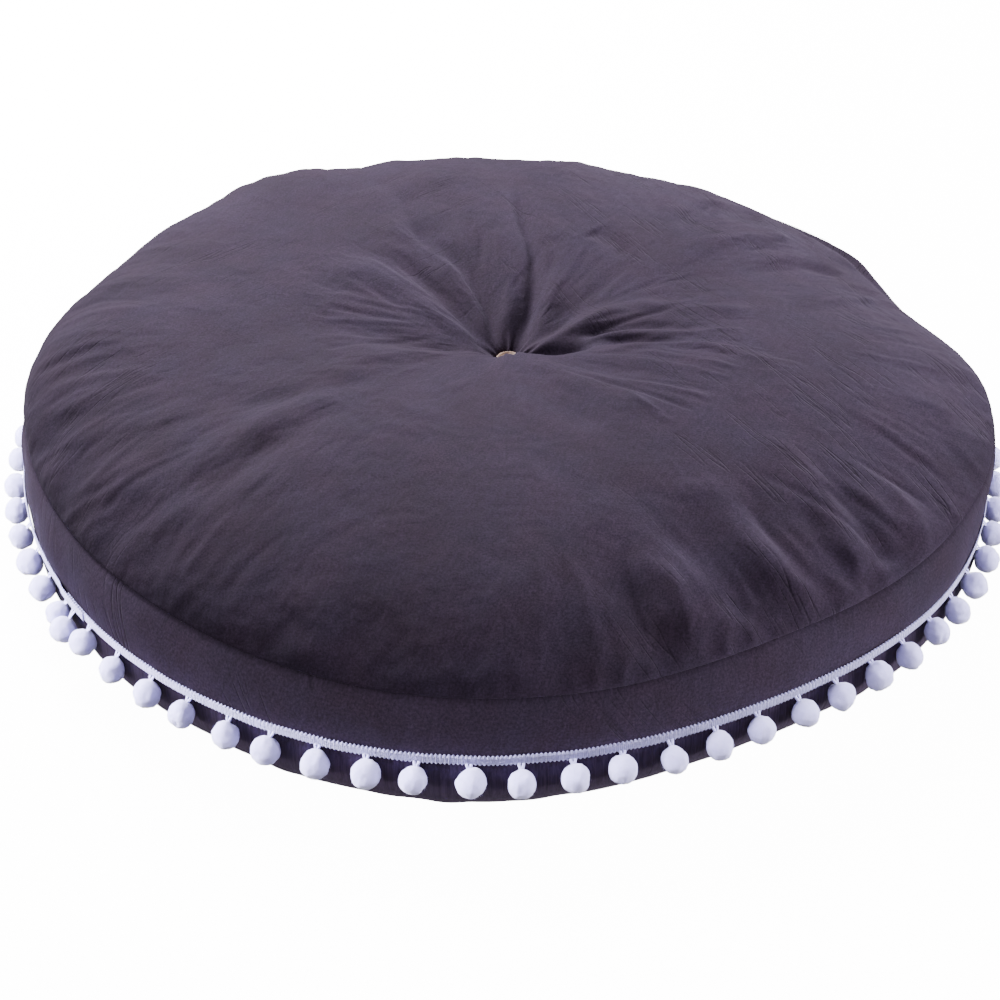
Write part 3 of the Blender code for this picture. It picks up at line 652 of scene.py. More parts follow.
def make_bottom():
    """The bottom panel: a rounded edge, a flat middle that lies on the floor, and the tuft."""
    edge_t = np.linspace(0, 1, 15) ** 1.15
    flat_r = [0.334, 0.310, 0.280, 0.250, 0.220, 0.190, 0.160, 0.145, 0.130]
    lift_r = list(np.linspace(0.118, BUTTON_R + 0.002, 16)) + [0.0100, 0.0070, 0.0035]
    rows, uv = [], []
    degs = np.arange(SPOKES) * 360.0 / SPOKES
    turn = np.radians(degs)

    def add_row(r, z):
        plan = np.stack([r * np.cos(turn), r * np.sin(turn)], axis=1)
        rows.append(np.column_stack([plan, z + 0 * r]))
        uv.append(plan * (1 + 0.6 * np.maximum(r - 0.35, 0))[:, None])

    r, z = underside_surface(np.zeros(SPOKES), degs)
    add_row(r - 0.0060, z - 0.0016)
    add_row(r - 0.0014, z - 0.0001)
    for t in edge_t:
        r, z = underside_surface(np.full(SPOKES, t), degs)
        add_row(r, np.maximum(z, 0.0002))
    for radius in flat_r:
        wave = 1 + noise_2d(radius * np.cos(turn) / 0.04 + 5, radius * np.sin(turn) / 0.04 + 5, 63)
        add_row(radius + 0 * turn, 0.0002 + 0.0004 * wave)
    for radius in lift_r:
        share = (TUFT_LIFT_R - radius) / (TUFT_LIFT_R - BUTTON_R - 0.0012)
        rise = 0.5 - 0.5 * math.cos(math.pi * min(1.0, max(0.0, share)))
        fold = 0.0022 * noise_1d(degs / 360 * 17, 64, 17) * math.sin(math.pi * min(1.0, max(0.0, share)))
        add_row(radius + 0 * turn, np.maximum(BOTTOM_SEAT_Z * rise + fold, 0.0003))
    faces = grid_faces(len(rows), SPOKES, outward=False)
    return mesh_from("cover_bottom_cloth", np.concatenate(rows), faces, np.concatenate(uv))


# Trim tape


TAPE_HALF = 0.0031  # half its width, without the picots
TAPE_STAND = 0.0001
TAPE_T = 0.0012
PICOT = 0.0029  # from one picot to the next
TRIM_START_DEG = 213.0
TRIM_LAP_DEG = 3.85


def tape_base(across, deg):
    """The cover's surface under the tape, across metres above the lower seam."""
    height = SEAM_UP_Z - SEAM_LOW_Z
    up = np.maximum(across, 0) / height
    r_up = band_outline(up)[0]
    down = np.maximum(-across, 0)
    angle = np.arcsin(np.clip(down / SEAM_LOW_Z, 0, 1) ** (underside_power(deg) / 2))
    r_down = SEAM_LOW_R - CONTACT_INSET + CONTACT_INSET * np.cos(angle) ** (2 / underside_power(deg))
    r = np.where(across >= 0, r_up, r_down)
    wobble = 0.0004 * noise_1d(np.asarray(deg) / 4.0, 71, 90)
    return r + plan_offset(deg) + lean_out(deg) * up, SEAM_LOW_Z + across + wobble


def make_tape():
    """The woven tape: picots along both edges, a bead inside them, and a lap over its start."""
    per_picot = 6
    length_deg = 360.0 + TRIM_LAP_DEG
    picots = round(math.radians(length_deg) * SEAM_LOW_R / PICOT)
    columns = picots * per_picot
    degs = TRIM_START_DEG + length_deg * np.arange(columns + 1) / columns
    phase = np.arange(columns + 1) / per_picot * TAU
    lap = step_between(degs, TRIM_START_DEG + 360.0 - 3.0, TRIM_START_DEG + 360.0 - 1.2)
    lift = TAPE_STAND + 0.0013 * lap
    scallop = 0.0016 * (0.5 + 0.5 * np.cos(phase)) ** 0.8 - 0.0003
    rows = []
    profile = (-1.0, -0.93, -0.80, -0.62, -0.34, 0.0, 0.34, 0.62, 0.80, 0.93, 1.0)
    rib = 0.00022 * np.cos(phase * 2)
    for face in (1, -1):
        order = profile if face == 1 else profile[::-1]
        for u in order:
            edge_part = max(0.0, (abs(u) - 0.80) / 0.20)
            across = u * TAPE_HALF + math.copysign(1, u) * scallop * edge_part
            r, z = tape_base(across, degs)
            thick = TAPE_T / 2 * (1 - 0.72 * edge_part**2)
            if face == 1:
                bead = 0.00045 * math.exp(-(((abs(u) - 0.80) / 0.09) ** 2)) * (0.6 + 0.4 * np.cos(phase))
                body = rib * (1 - edge_part) * (1 if abs(u) < 0.7 else 0.3)
                out = lift + TAPE_T / 2 + thick + bead + body
            else:
                out = lift + TAPE_T / 2 - thick
            turn = np.radians(degs)
            rows.append(np.stack([(r + out) * np.cos(turn), (r + out) * np.sin(turn), z], axis=1))
    n, count = len(rows), columns + 1
    faces = grid_faces(n, count, round_columns=False, round_rows=True)
    faces.append(tuple(k * count for k in range(n)))
    faces.append(tuple(k * count + columns for k in reversed(range(n))))
    uvs = []
    for k in range(n):
        u = profile[k] if k < len(profile) else profile[::-1][k - len(profile)]
        uvs.append(np.stack([np.radians(degs) * SEAM_LOW_R, np.full(count, u * TAPE_HALF)], axis=1))
    return mesh_from("trim_tape_weave", np.concatenate(rows), faces, np.concatenate(uvs))


# Pompoms


POMPOM_R = 0.0097
POMPOM_OUT = 0.0089
POMPOM_DROP = 0.0130
STRINGS = 12
PER_STRING = 6
FACETS = 72


def ball_template():
    bm = bmesh.new()
    bmesh.ops.create_icosphere(bm, subdivisions=4, radius=1.0)
    points = np.array([v.co[:] for v in bm.verts])
    faces = [tuple(v.index for v in f.verts) for f in bm.faces]
    bm.free()
    return points, faces


BALL_POINTS, BALL_FACES = ball_template()


def noise_3d(p, scale, seed):
    a = noise_2d(p[:, 0] * scale + 30, p[:, 1] * scale + 30 + seed, seed)
    b = noise_2d(p[:, 1] * scale + 31, p[:, 2] * scale + 37, seed + 1)
    c = noise_2d(p[:, 2] * scale + 35, p[:, 0] * scale + 33 + seed, seed + 2)
    return (a + b + c) / 3


class Yarn:
    """Points and faces of one string of pompoms."""

    def __init__(self):
        self.points, self.faces, self.count = [], [], 0

    def add(self, points, faces):
        self.points.append(points)
        self.faces += [tuple(i + self.count for i in f) for f in faces]
        self.count += len(points)


def add_pompom(yarn, centre, radius, rng):
    """A clipped yarn ball, a little out of round, with loose fibre ends."""
    turn = Matrix.Rotation(rng.uniform(0, TAU), 3, "Z") @ Matrix.Rotation(rng.uniform(-0.25, 0.25), 3, "X")
    base = BALL_POINTS
    seed = int(rng.integers(1, 5000))
    lumps = 0.110 * noise_3d(base, 1.5, seed) + 0.075 * noise_3d(base, 3.4, seed + 7)
    tufts = 0.042 * noise_3d(base, 8.0, seed + 13) + 0.006 * rng.uniform(-1, 1, len(base))
    neck = 0.07 * np.exp(-(((1 - base[:, 2]) / 0.35) ** 2))
    size = radius * (1 + lumps + tufts + neck)
    squash = 1 + np.array([rng.uniform(-0.04, 0.04), rng.uniform(-0.04, 0.04), rng.uniform(-0.03, 0.06)])
    points = base * size[:, None] * squash
    points = points @ np.array(turn).T + centre
    yarn.add(points, BALL_FACES)
    # loose fibre ends, as thin slips that stand out of the ball
    count = 420
    dirs = rng.normal(size=(count, 3))
    dirs /= np.linalg.norm(dirs, axis=1)[:, None]
    side = np.cross(dirs, rng.normal(size=(count, 3)))
    side /= np.linalg.norm(side, axis=1)[:, None]
    bend = side * rng.uniform(0.05, 0.22, (count, 1)) * radius
    width = np.cross(dirs, side) * 0.00006
    root = centre + dirs * radius * 0.93
    tip = centre + dirs * radius * rng.uniform(1.03, 1.09, (count, 1)) + bend
    quad = np.stack([root - width, root + width, tip], axis=1).reshape(-1, 3)
    yarn.add(quad, [(3 * i, 3 * i + 1, 3 * i + 2) for i in range(count)])


def add_tube(yarn, path, radii, sides=6, flatten=1.0, flat_axis=None):
    """A tube along a path of points, flattened across flat_axis."""
    path = [Vector(p) for p in path]
    rings = []
    for i, point in enumerate(path):
        ahead = (path[min(i + 1, len(path) - 1)] - path[max(i - 1, 0)]).normalized()
        axis_a = flat_axis - ahead * flat_axis.dot(ahead) if flat_axis else ahead.orthogonal()
        axis_a.normalize()
        axis_b = ahead.cross(axis_a)
        ring = []
        for k in range(sides):
            angle = TAU * k / sides
            ring.append(point + radii[i] * (axis_a * math.cos(angle) * flatten + axis_b * math.sin(angle)))
        rings.append(ring)
    points = np.array([p[:] for ring in rings for p in ring])
    faces = grid_faces(len(rings), sides)
    faces.append(tuple(range(sides))[::-1])
    faces.append(tuple((len(rings) - 1) * sides + k for k in range(sides)))
    yarn.add(points, faces)


def hand_sewn(deg):
    """How far round the trim has crept from its even spacing, in degrees."""
    left = -2.6 * (1 - step_between(deg, 205, 243)) * step_between(deg, 135, 170)
    return left + 0.6 * bump(deg, 283, 32) - 0.9 * bump(deg, 346, 14)


def trim_point(deg, out, drop):
    turn = math.radians(deg)
    r = SEAM_LOW_R + out + float(plan_offset(deg))
    return Vector((r * math.cos(turn), r * math.sin(turn), SEAM_LOW_Z - drop))


def add_stem(yarn, deg, centre):
    """A flat stem of two threads, from under the tape to the ball."""
    radial = Vector((math.cos(math.radians(deg)), math.sin(math.radians(deg)), 0))
    top = trim_point(deg, 0.0014, 0.0026)
    centre = Vector(centre)
    toward = (centre - top).normalized()
    end = centre - toward * POMPOM_R * 0.80
    tangent = Vector((-radial.y, radial.x, 0))
    for k in (-1, 1):
        path = []
        for i in range(9):
            t = i / 8
            spread = 0.00150 - 0.00085 * step_between(t, 0.0, 0.75)
            bow = 0.0005 * math.sin(math.pi * t)
            path.append(top.lerp(end, t) + tangent * k * spread + radial * bow)
        add_tube(yarn, path, [0.00105] * 9, sides=8, flatten=0.52, flat_axis=radial)
        ply = [p + radial * 0.00035 + tangent * k * 0.0003 * math.sin(i * 1.6) for i, p in enumerate(path)]
        add_tube(yarn, ply, [0.00042] * 9, sides=6)


def pompom_spots(string):
    """Azimuth, distance out and drop of each pompom; the string at the lap has one more."""
    step = 360.0 / FACETS
    spots = [((string * PER_STRING + i) * step, POMPOM_OUT, POMPOM_DROP) for i in range(PER_STRING)]
    lap_deg = TRIM_START_DEG + 2.6
    if spots[0][0] - step / 2 < lap_deg < spots[-1][0] + step / 2:
        spots.append((TRIM_START_DEG + TRIM_LAP_DEG - 0.1, 0.0122, 0.0168))
    return spots


def make_string(string):
    """One string: its pompoms, their stems, and the header thread behind the tape."""
    yarn = Yarn()
    rng = np.random.default_rng(100 + string)
    for deg, out, drop in pompom_spots(string):
        deg = deg + float(hand_sewn(deg))
        swing = rng.uniform(-0.30, 0.30)
        droop = rng.uniform(-0.0008, 0.0012)
        centre = trim_point(deg + swing, out + 0.0008 + 0.0004 * rng.uniform(-1, 1), drop + droop)
        add_stem(yarn, deg, centre)
        add_pompom(yarn, np.array(centre[:]), POMPOM_R * rng.uniform(0.96, 1.04), rng)
    step = 360.0 / FACETS
    first = (string * PER_STRING - 0.5) * step
    spots = [first + PER_STRING * step * i / 60 for i in range(61)]
    path = [trim_point(deg + float(hand_sewn(deg)), 0.0004, 0.0026) for deg in spots]
    add_tube(yarn, path, [0.00045] * 61, sides=6)
    name = f"pompom_string_{string + 1:02d}"
    return mesh_from(name, np.concatenate(yarn.points), yarn.faces)


# Buttons and twine


def make_button(name, z_low, face_up):
    """A turned wooden button with a rounded rim, a dished middle and four straight holes."""
    profile = (
        (0.0, 0.0000),
        (0.0070, 0.0000),
        (0.0088, 0.0004),
        (0.0097, 0.0012),
        (0.0100, 0.0021),
        (0.0098, 0.0030),
        (0.0092, 0.0037),
        (0.0085, 0.0040),
        (0.0078, 0.0039),
        (0.0071, 0.0033),
        (0.0064, 0.0030),
        (0.0045, 0.00295),
        (0.0, 0.0029),
    )
    sides = 96
    points = []
    scale = BUTTON_R / 0.010
    for r, z in profile[1:-1]:
        for i in range(sides):
            turn = TAU * i / sides
            points.append((r * scale * math.cos(turn), r * scale * math.sin(turn), z))
    rings = len(profile) - 2
    faces = grid_faces(rings, sides)
    faces.append(tuple(range(sides))[::-1])
    faces.append(tuple((rings - 1) * sides + i for i in range(sides)))
    obj = mesh_from(name, points, faces)
    bm = bmesh.new()
    for sx in (-1, 1):
        for sy in (-1, 1):
            spot = Matrix.Translation((HOLE_STEP * sx, HOLE_STEP * sy, 0.002))
            bmesh.ops.create_cone(
                bm, cap_ends=True, segments=20, radius1=0.00105, radius2=0.00105, depth=0.008, matrix=spot
            )
    cutter_mesh = bpy.data.meshes.new("holes")
    bm.to_mesh(cutter_mesh)
    bm.free()
    cutter = bpy.data.objects.new("holes", cutter_mesh)
    bpy.context.scene.collection.objects.link(cutter)
    modifier = obj.modifiers.new("holes", "BOOLEAN")
    modifier.object = cutter
    modifier.operation = "DIFFERENCE"
    modifier.solver = "EXACT"
    made = bpy.data.meshes.new_from_object(obj.evaluated_get(bpy.context.evaluated_depsgraph_get()))
    obj.modifiers.clear()
    obj.data = made
    bpy.data.objects.remove(cutter)
    if face_up:
        place = Matrix.Translation((0, 0, z_low))
    else:
        place = Matrix.Translation((0, 0, z_low + 0.004)) @ Matrix.Rotation(math.pi, 4, "X")
    obj.data.transform(place)
    obj.data.shade_smooth()
    obj.data.set_sharp_from_angle(angle=math.radians(50))
    return obj


def make_twine(name, y):
    """One loop of twisted two-ply twine, through both buttons."""
    yarn = Yarn()
    x = HOLE_STEP
    twist_pitch = 0.0022
    z_top = button_low.z + 0.0030 + 0.0007
    z_low = under_high.z - 0.0030 - 0.0007
    corner = 0.0010
    straight = z_top - z_low - 2 * corner
    path = []
    for cx, cz, start in ((x, z_top, 0), (-x, z_top, 90), (-x, z_low, 180), (x, z_low, 270)):
        centre_x = cx - math.copysign(corner, cx)
        centre_z = cz - corner if cz == z_top else cz + corner
        for turn in range(0, 91, 15):
            a = math.radians(start + turn)
            path.append(Vector((centre_x + corner * math.cos(a), y, centre_z + corner * math.sin(a))))
        if cz == z_top and cx > 0:
            path += [Vector((x - corner - (2 * x - 2 * corner) * t / 8, y, z_top)) for t in range(1, 8)]
        if cx < 0 and cz == z_top:
            path += [Vector((-x, y, z_top - corner - straight * t / 90)) for t in range(1, 90)]
        if cx < 0 and cz == z_low:
            path += [Vector((-x + corner + (2 * x - 2 * corner) * t / 8, y, z_low)) for t in range(1, 8)]
        if cx > 0 and cz == z_low:
            path += [Vector((x, y, z_low + corner + straight * t / 90)) for t in range(1, 90)]
    path.append(path[0])
    length = 0.0
    plies = ([], [])
    side = Vector((0, 1, 0))
    for i, p in enumerate(path):
        if i:
            length += (p - path[i - 1]).length
        ahead = (path[(i + 1) % (len(path) - 1)] - path[i - 1 if i else -2]).normalized()
        other = ahead.cross(side).normalized()
        phase = length / twist_pitch * TAU
        for k, ply in enumerate(plies):
            a = phase + k * math.pi
            ply.append(p + (side * math.cos(a) + other * math.sin(a)) * 0.00030)
    for ply in plies:
        add_tube(yarn, ply, [0.00032] * len(ply), sides=5)
    return mesh_from(name, np.concatenate(yarn.points), yarn.faces)


# Zip


def facet_scale(deg):
    """The CAD's seams are polygons; their radius at an azimuth as a share of the corners'."""
    step = 360.0 / FACETS
    from_middle = math.radians((deg % step) - step / 2)
    return math.cos(math.radians(step / 2)) / math.cos(from_middle)


# One tooth of the coil: along the tape's width, out of its face, and the wire's radius
TOOTH = (
    (0.0031, -0.0005, 0.00036),
    (0.0031, 0.0005, 0.00036),
    (0.0018, 0.00075, 0.00034),
    (0.0004, 0.0007, 0.00040),
    (0.0001, 0.0002, 0.00046),
    (0.0004, -0.0004, 0.00038),
    (0.0018, -0.0005, 0.00032),
)


def make_coil(name, side):
    """One row of the zip's nylon coil: a loop for each tooth, on a core."""
    yarn = Yarn()
    pitch = 0.0016
    r_mid, z_mid = band_outline(0.5)
    start, end = ZIP_FROM_DEG + 0.5, ZIP_TO_DEG - 0.5
    count = round(math.radians(end - start) * r_mid / pitch)
    lean = math.atan2(SEAM_LOW_R - SEAM_UP_R, SEAM_UP_Z - SEAM_LOW_Z)
    for i in range(count):
        deg = start + (end - start) * (i + (0.5 if side > 0 else 0.0)) / count
        turn = math.radians(deg)
        radial = Vector((math.cos(turn), math.sin(turn), 0))
        up = (Vector((0, 0, 1)) * math.cos(lean) - radial * math.sin(lean)).normalized()
        out = (radial * math.cos(lean) + Vector((0, 0, 1)) * math.sin(lean)).normalized()
        centre = radial * (r_mid * facet_scale(deg)) + Vector((0, 0, z_mid)) + out * -0.0002
        path = [centre + up * side * t + out * w for t, w, wire in TOOTH]
        add_tube(yarn, path, [wire for t, w, wire in TOOTH], sides=5)
    path = []
    for i in range(181):
        deg = start + (end - start) * i / 180
        turn = math.radians(deg)
        radial = Vector((math.cos(turn), math.sin(turn), 0))
        path.append(radial * (r_mid * facet_scale(deg) - 0.0004) + Vector((0, 0, z_mid + side * 0.0022)))
    add_tube(yarn, path, [0.0004] * 181, sides=5)
    return mesh_from(name + "_teeth", np.concatenate(yarn.points), yarn.faces)


def make_topstitch(name, share, from_deg, to_deg):
    """A row of small stitches on the band."""
    yarn = Yarn()
    pitch, stitch = 0.0032, 0.0024
    r, z = band_outline(share)
    count = int(math.radians(to_deg - from_deg) * r / pitch)
    for i in range(count):
        deg = from_deg + (to_deg - from_deg) * (i + 0.5) / count
        half = math.degrees(stitch / 2 / r)
        path = []
        for t, dip in ((-1, -0.0003), (-0.6, 0.00012), (0, 0.0002), (0.6, 0.00012), (1, -0.0003)):
            turn = math.radians(deg + half * t)
            path.append(Vector((math.cos(turn) * (r + dip), math.sin(turn) * (r + dip), z)))
        add_tube(yarn, path, [0.00012, 0.0002, 0.0002, 0.0002, 0.00012], sides=5)
    return mesh_from(name, np.concatenate(yarn.points), yarn.faces)


# Inner pad, under the cover


def make_pad(top_data):
    """Rows of points round the inner pad, from the tuft's top, over the edge, to its underside."""
    points, counts, rings = top_data
    start = np.concatenate([[0], np.cumsum(counts)])
    step_deg = 3
    picks = [k for k in range(len(rings)) if 0.0120 < rings[k] < TOP_LENGTH - 0.022]
    picks = picks[::2]
    count = 360 // step_deg
    rows = []
    for k in picks:
        ring = points[start[k] : start[k + 1]]
        every = counts[k] / count
        chosen = ring[[int(i * every) for i in range(count)]].copy()
        r = np.hypot(chosen[:, 0], chosen[:, 1])
        near_seam = 1 - step_between(TOP_LENGTH - rings[k], 0.022, 0.075)
        chosen[:, :2] *= ((r - 0.010 * near_seam) / r)[:, None]
        chosen[:, 2] -= 0.0045 + 0.0060 * near_seam
        rows.append(chosen)
    degs = np.arange(count) * step_deg
    turn = np.radians(degs)
    for share in (0.40, 0.15):
        r, z = band_outline(share)
        slump_in, slump_down = slump(degs)
        r = r + plan_offset(degs) - 0.0115 - 1.4 * slump_in * share
        z = z - 2.0 * slump_down * share
        rows.append(np.stack([r * np.cos(turn), r * np.sin(turn), z + 0 * r], axis=1))
    for t in (0.1, 0.3, 0.5, 0.7, 0.85, 1.0):
        r, z = underside_surface(np.full(count, t), degs)
        rows.append(np.stack([(r - 0.007) * np.cos(turn), (r - 0.007) * np.sin(turn), z + 0.003], axis=1))
    for radius in (0.30, 0.24, 0.18, 0.13, 0.10, 0.07, 0.045, 0.025, 0.0120):
        share = max(0.0, (TUFT_LIFT_R - radius) / (TUFT_LIFT_R - BUTTON_R - 0.0012))
        rise = 0.5 - 0.5 * math.cos(math.pi * min(1.0, share))
        z = BOTTOM_SEAT_Z * rise + 0.0045
        rows.append(np.stack([radius * np.cos(turn), radius * np.sin(turn), z + 0 * turn], axis=1))
    return rows, count


def shell(name, rows, count, closed_tube):
    """A skin through rows of points, joined from its last row to its first where it is a closed tube."""
    faces = grid_faces(len(rows), count, round_rows=closed_tube, outward=False)
    return mesh_from(name, np.concatenate(rows), faces)


# Materials


class Nodes:
    """A short way to build a material's node tree."""

    def __init__(self, name):
        self.material = bpy.data.materials.new(name)
        self.material.use_nodes = True
        self.tree = self.material.node_tree
        self.shader = self.tree.nodes["Principled BSDF"]

    def add(self, kind, **values):
        node = self.tree.nodes.new(kind)
        for key, value in values.items():
            if key in node.bl_rna.properties:
                setattr(node, key, value)
            else:
                node.inputs[key.replace("_", " ")].default_value = value
        return node

    def link(self, a, b):
        self.tree.links.new(a, b)

    def coords(self, source, scale, rotation=(0, 0, 0)):
        place = self.add("ShaderNodeTexCoord")
        turned = self.add("ShaderNodeMapping")
        turned.inputs["Rotation"].default_value = rotation
        self.link(place.outputs[source], turned.inputs["Vector"])
        scaled = self.add("ShaderNodeMapping")
        scaled.inputs["Scale"].default_value = scale
        self.link(turned.outputs["Vector"], scaled.inputs["Vector"])
        return scaled.outputs["Vector"]

    def noise(self, vector, scale, detail=2.0, roughness=0.5, distortion=0.0):
        node = self.add("ShaderNodeTexNoise")
        node.inputs["Scale"].default_value = scale
        node.inputs["Detail"].default_value = detail
        node.inputs["Roughness"].default_value = roughness
        node.inputs["Distortion"].default_value = distortion
        self.link(vector, node.inputs["Vector"])
        return node.outputs["Fac"]

    def math(self, operation, a, b=None, clamp=False):
        node = self.add("ShaderNodeMath")
        node.operation = operation
        node.use_clamp = clamp
        for slot, value in ((0, a), (1, b)):
            if value is None:
                continue
            if hasattr(value, "links"):
                self.link(value, node.inputs[slot])
            else:
                node.inputs[slot].default_value = value
        return node.outputs[0]

    def ramp(self, value, stops):
        node = self.add("ShaderNodeValToRGB")
        elements = node.color_ramp.elements
        while len(elements) < len(stops):
            elements.new(0.5)
        for element, (position, colour) in zip(elements, stops):
            element.position = position
            element.color = (*colour, 1.0) if len(colour) == 3 else colour
        self.link(value, node.inputs["Fac"])
        return node.outputs["Color"]

    def mix(self, factor, a, b, mode="MIX"):
        node = self.add("ShaderNodeMix")
        node.data_type = "RGBA"
        node.blend_type = mode
        for name, value in (("Factor", factor), ("A", a), ("B", b)):
            socket = [s for s in node.inputs if s.name == name and s.enabled][0]
            if hasattr(value, "links"):
                self.link(value, socket)
            else:
                socket.default_value = value
        return [s for s in node.outputs if s.enabled][0]

    def bump(self, height, strength, distance, normal=None):
        node = self.add("ShaderNodeBump")
        node.inputs["Strength"].default_value = strength
        node.inputs["Distance"].default_value = distance
        self.link(height, node.inputs["Height"])
        if normal is not None:
            self.link(normal, node.inputs["Normal"])
        return node.outputs["Normal"]


def cotton_material(name, tint=1.0):
    """Washed plain-weave cotton: slubs along both threads, pressed creases with painted shade in them, and
    mottled dye.
    """
    n = Nodes(name)
    flat = n.coords("UV", (1, 1, 1))
    warp = n.noise(n.coords("UV", (900, 190, 1), (0, 0, 0.05)), 1.0, 2.0, 0.6)
    weft = n.noise(n.coords("UV", (190, 900, 1), (0, 0, 0.05)), 1.0, 2.0, 0.6)
    grain = n.noise(flat, 560.0, 3.0, 0.75)
    slub = n.noise(n.coords("UV", (300, 60, 1), (0, 0, 0.4)), 1.0, 3.0, 0.55)
    weave = n.math("ADD", n.math("MULTIPLY", warp, 0.5), n.math("MULTIPLY", weft, 0.5))
    # creases: fine broken lines pressed into the cloth, which lean one way at the right
    # and the other at the left
    plan = n.add("ShaderNodeSeparateXYZ")
    n.link(flat, plan.inputs["Vector"])
    right = n.math("MULTIPLY", n.math("ADD", plan.outputs["X"], 0.07, clamp=True), 8.0, clamp=True)
    left = n.math("SUBTRACT", 1.0, right, clamp=True)
    # the front of the top is smooth in the middle
    behind = n.math("ADD", plan.outputs["Y"], 0.03)
    rough = n.math("MAXIMUM", n.math("SUBTRACT", plan.outputs["X"], 0.05), behind)
    rough = n.math("MAXIMUM", rough, n.math("SUBTRACT", -0.19, plan.outputs["X"]))
    rough = n.math("ADD", n.math("MULTIPLY", n.math("MULTIPLY", rough, 9.0, clamp=True), 0.9), 0.1)
    crease = 0.0
    for side, angle, depth in ((right, -0.595, 1.0), (left, 0.88, 0.45)):
        line = n.noise(n.coords("UV", (100, 9, 1), (0, 0, angle)), 1.0, 2.0, 0.5, 0.25)
        line = n.math("ABSOLUTE", n.math("SUBTRACT", line, 0.5))
        line = n.math("SUBTRACT", 1.0, n.math("MULTIPLY", line, 26.0), clamp=True)
        broken = n.noise(n.coords("UV", (20, 9, 1), (0, 0, angle)), 1.0, 3.0, 0.6)
        broken = n.math("MULTIPLY", n.math("SUBTRACT", broken, 0.50, clamp=True), 8.0, clamp=True)
        line = n.math("MULTIPLY", n.math("MULTIPLY", line, broken), n.math("MULTIPLY", side, depth))
        crease = n.math("ADD", crease, n.math("MULTIPLY", line, rough))
    rumple = n.noise(flat, 34.0, 5.0, 0.58, 0.3)
    normal = n.bump(weave, 0.30, 0.00030)
    normal = n.bump(grain, 0.50, 0.00040, normal)
    normal = n.bump(slub, 0.20, 0.00050, normal)
    normal = n.bump(n.math("SUBTRACT", 1.0, crease), 0.90, 0.00075, normal)
    normal = n.bump(rumple, 0.42, 0.0020, normal)
    n.link(normal, n.shader.inputs["Normal"])
    # dye: mottled broad patches and paler along slubs; the darkening in creases is painted shade
    broad = n.noise(flat, 9.0, 6.0, 0.66)
    # a tint below 1 makes a darker copy of the cloth: painted shade
    dark = (0.0300 * tint, 0.0186 * tint, 0.0365 * tint)
    mid = (0.0365 * tint, 0.0231 * tint, 0.0465 * tint)
    pale = (0.0430 * tint, 0.0280 * tint, 0.0555 * tint)
    colour = n.ramp(broad, ((0.32, dark), (0.52, mid), (0.70, pale)))
    hue = n.ramp(n.noise(flat, 22.0, 3.0, 0.6), ((0.36, (1.04, 0.985, 0.975)), (0.64, (0.965, 1.01, 1.02))))
    colour = n.mix(1.0, colour, hue, "MULTIPLY")
    thread = n.ramp(weave, ((0.36, (0.88, 0.88, 0.88)), (0.64, (1.10, 1.10, 1.10))))
    colour = n.mix(1.0, colour, thread, "MULTIPLY")
    speck = n.ramp(grain, ((0.36, (0.70, 0.70, 0.70)), (0.64, (1.30, 1.30, 1.30))))
    colour = n.mix(1.0, colour, speck, "MULTIPLY")
    slubs = n.ramp(slub, ((0.34, (0.88, 0.88, 0.88)), (0.66, (1.12, 1.12, 1.12))))
    colour = n.mix(1.0, colour, slubs, "MULTIPLY")
    # painted shade: the creases' colour is mixed towards this deep plum
    crease_shade = (0.012 * tint, 0.007 * tint, 0.014 * tint, 1)
    crease_shaded = n.mix(n.math("MULTIPLY", crease, 0.50, clamp=True), colour, crease_shade)
    n.link(crease_shaded, n.shader.inputs["Base Color"])
    n.link(n.math("ADD", n.math("MULTIPLY", slub, 0.12), 0.82), n.shader.inputs["Roughness"])
    n.shader.inputs["Sheen Weight"].default_value = 0.10
    n.shader.inputs["Sheen Roughness"].default_value = 0.5
    n.shader.inputs["Sheen Tint"].default_value = (0.78, 0.66, 0.92, 1)
    n.shader.inputs["Specular IOR Level"].default_value = 0.20
    return n.material


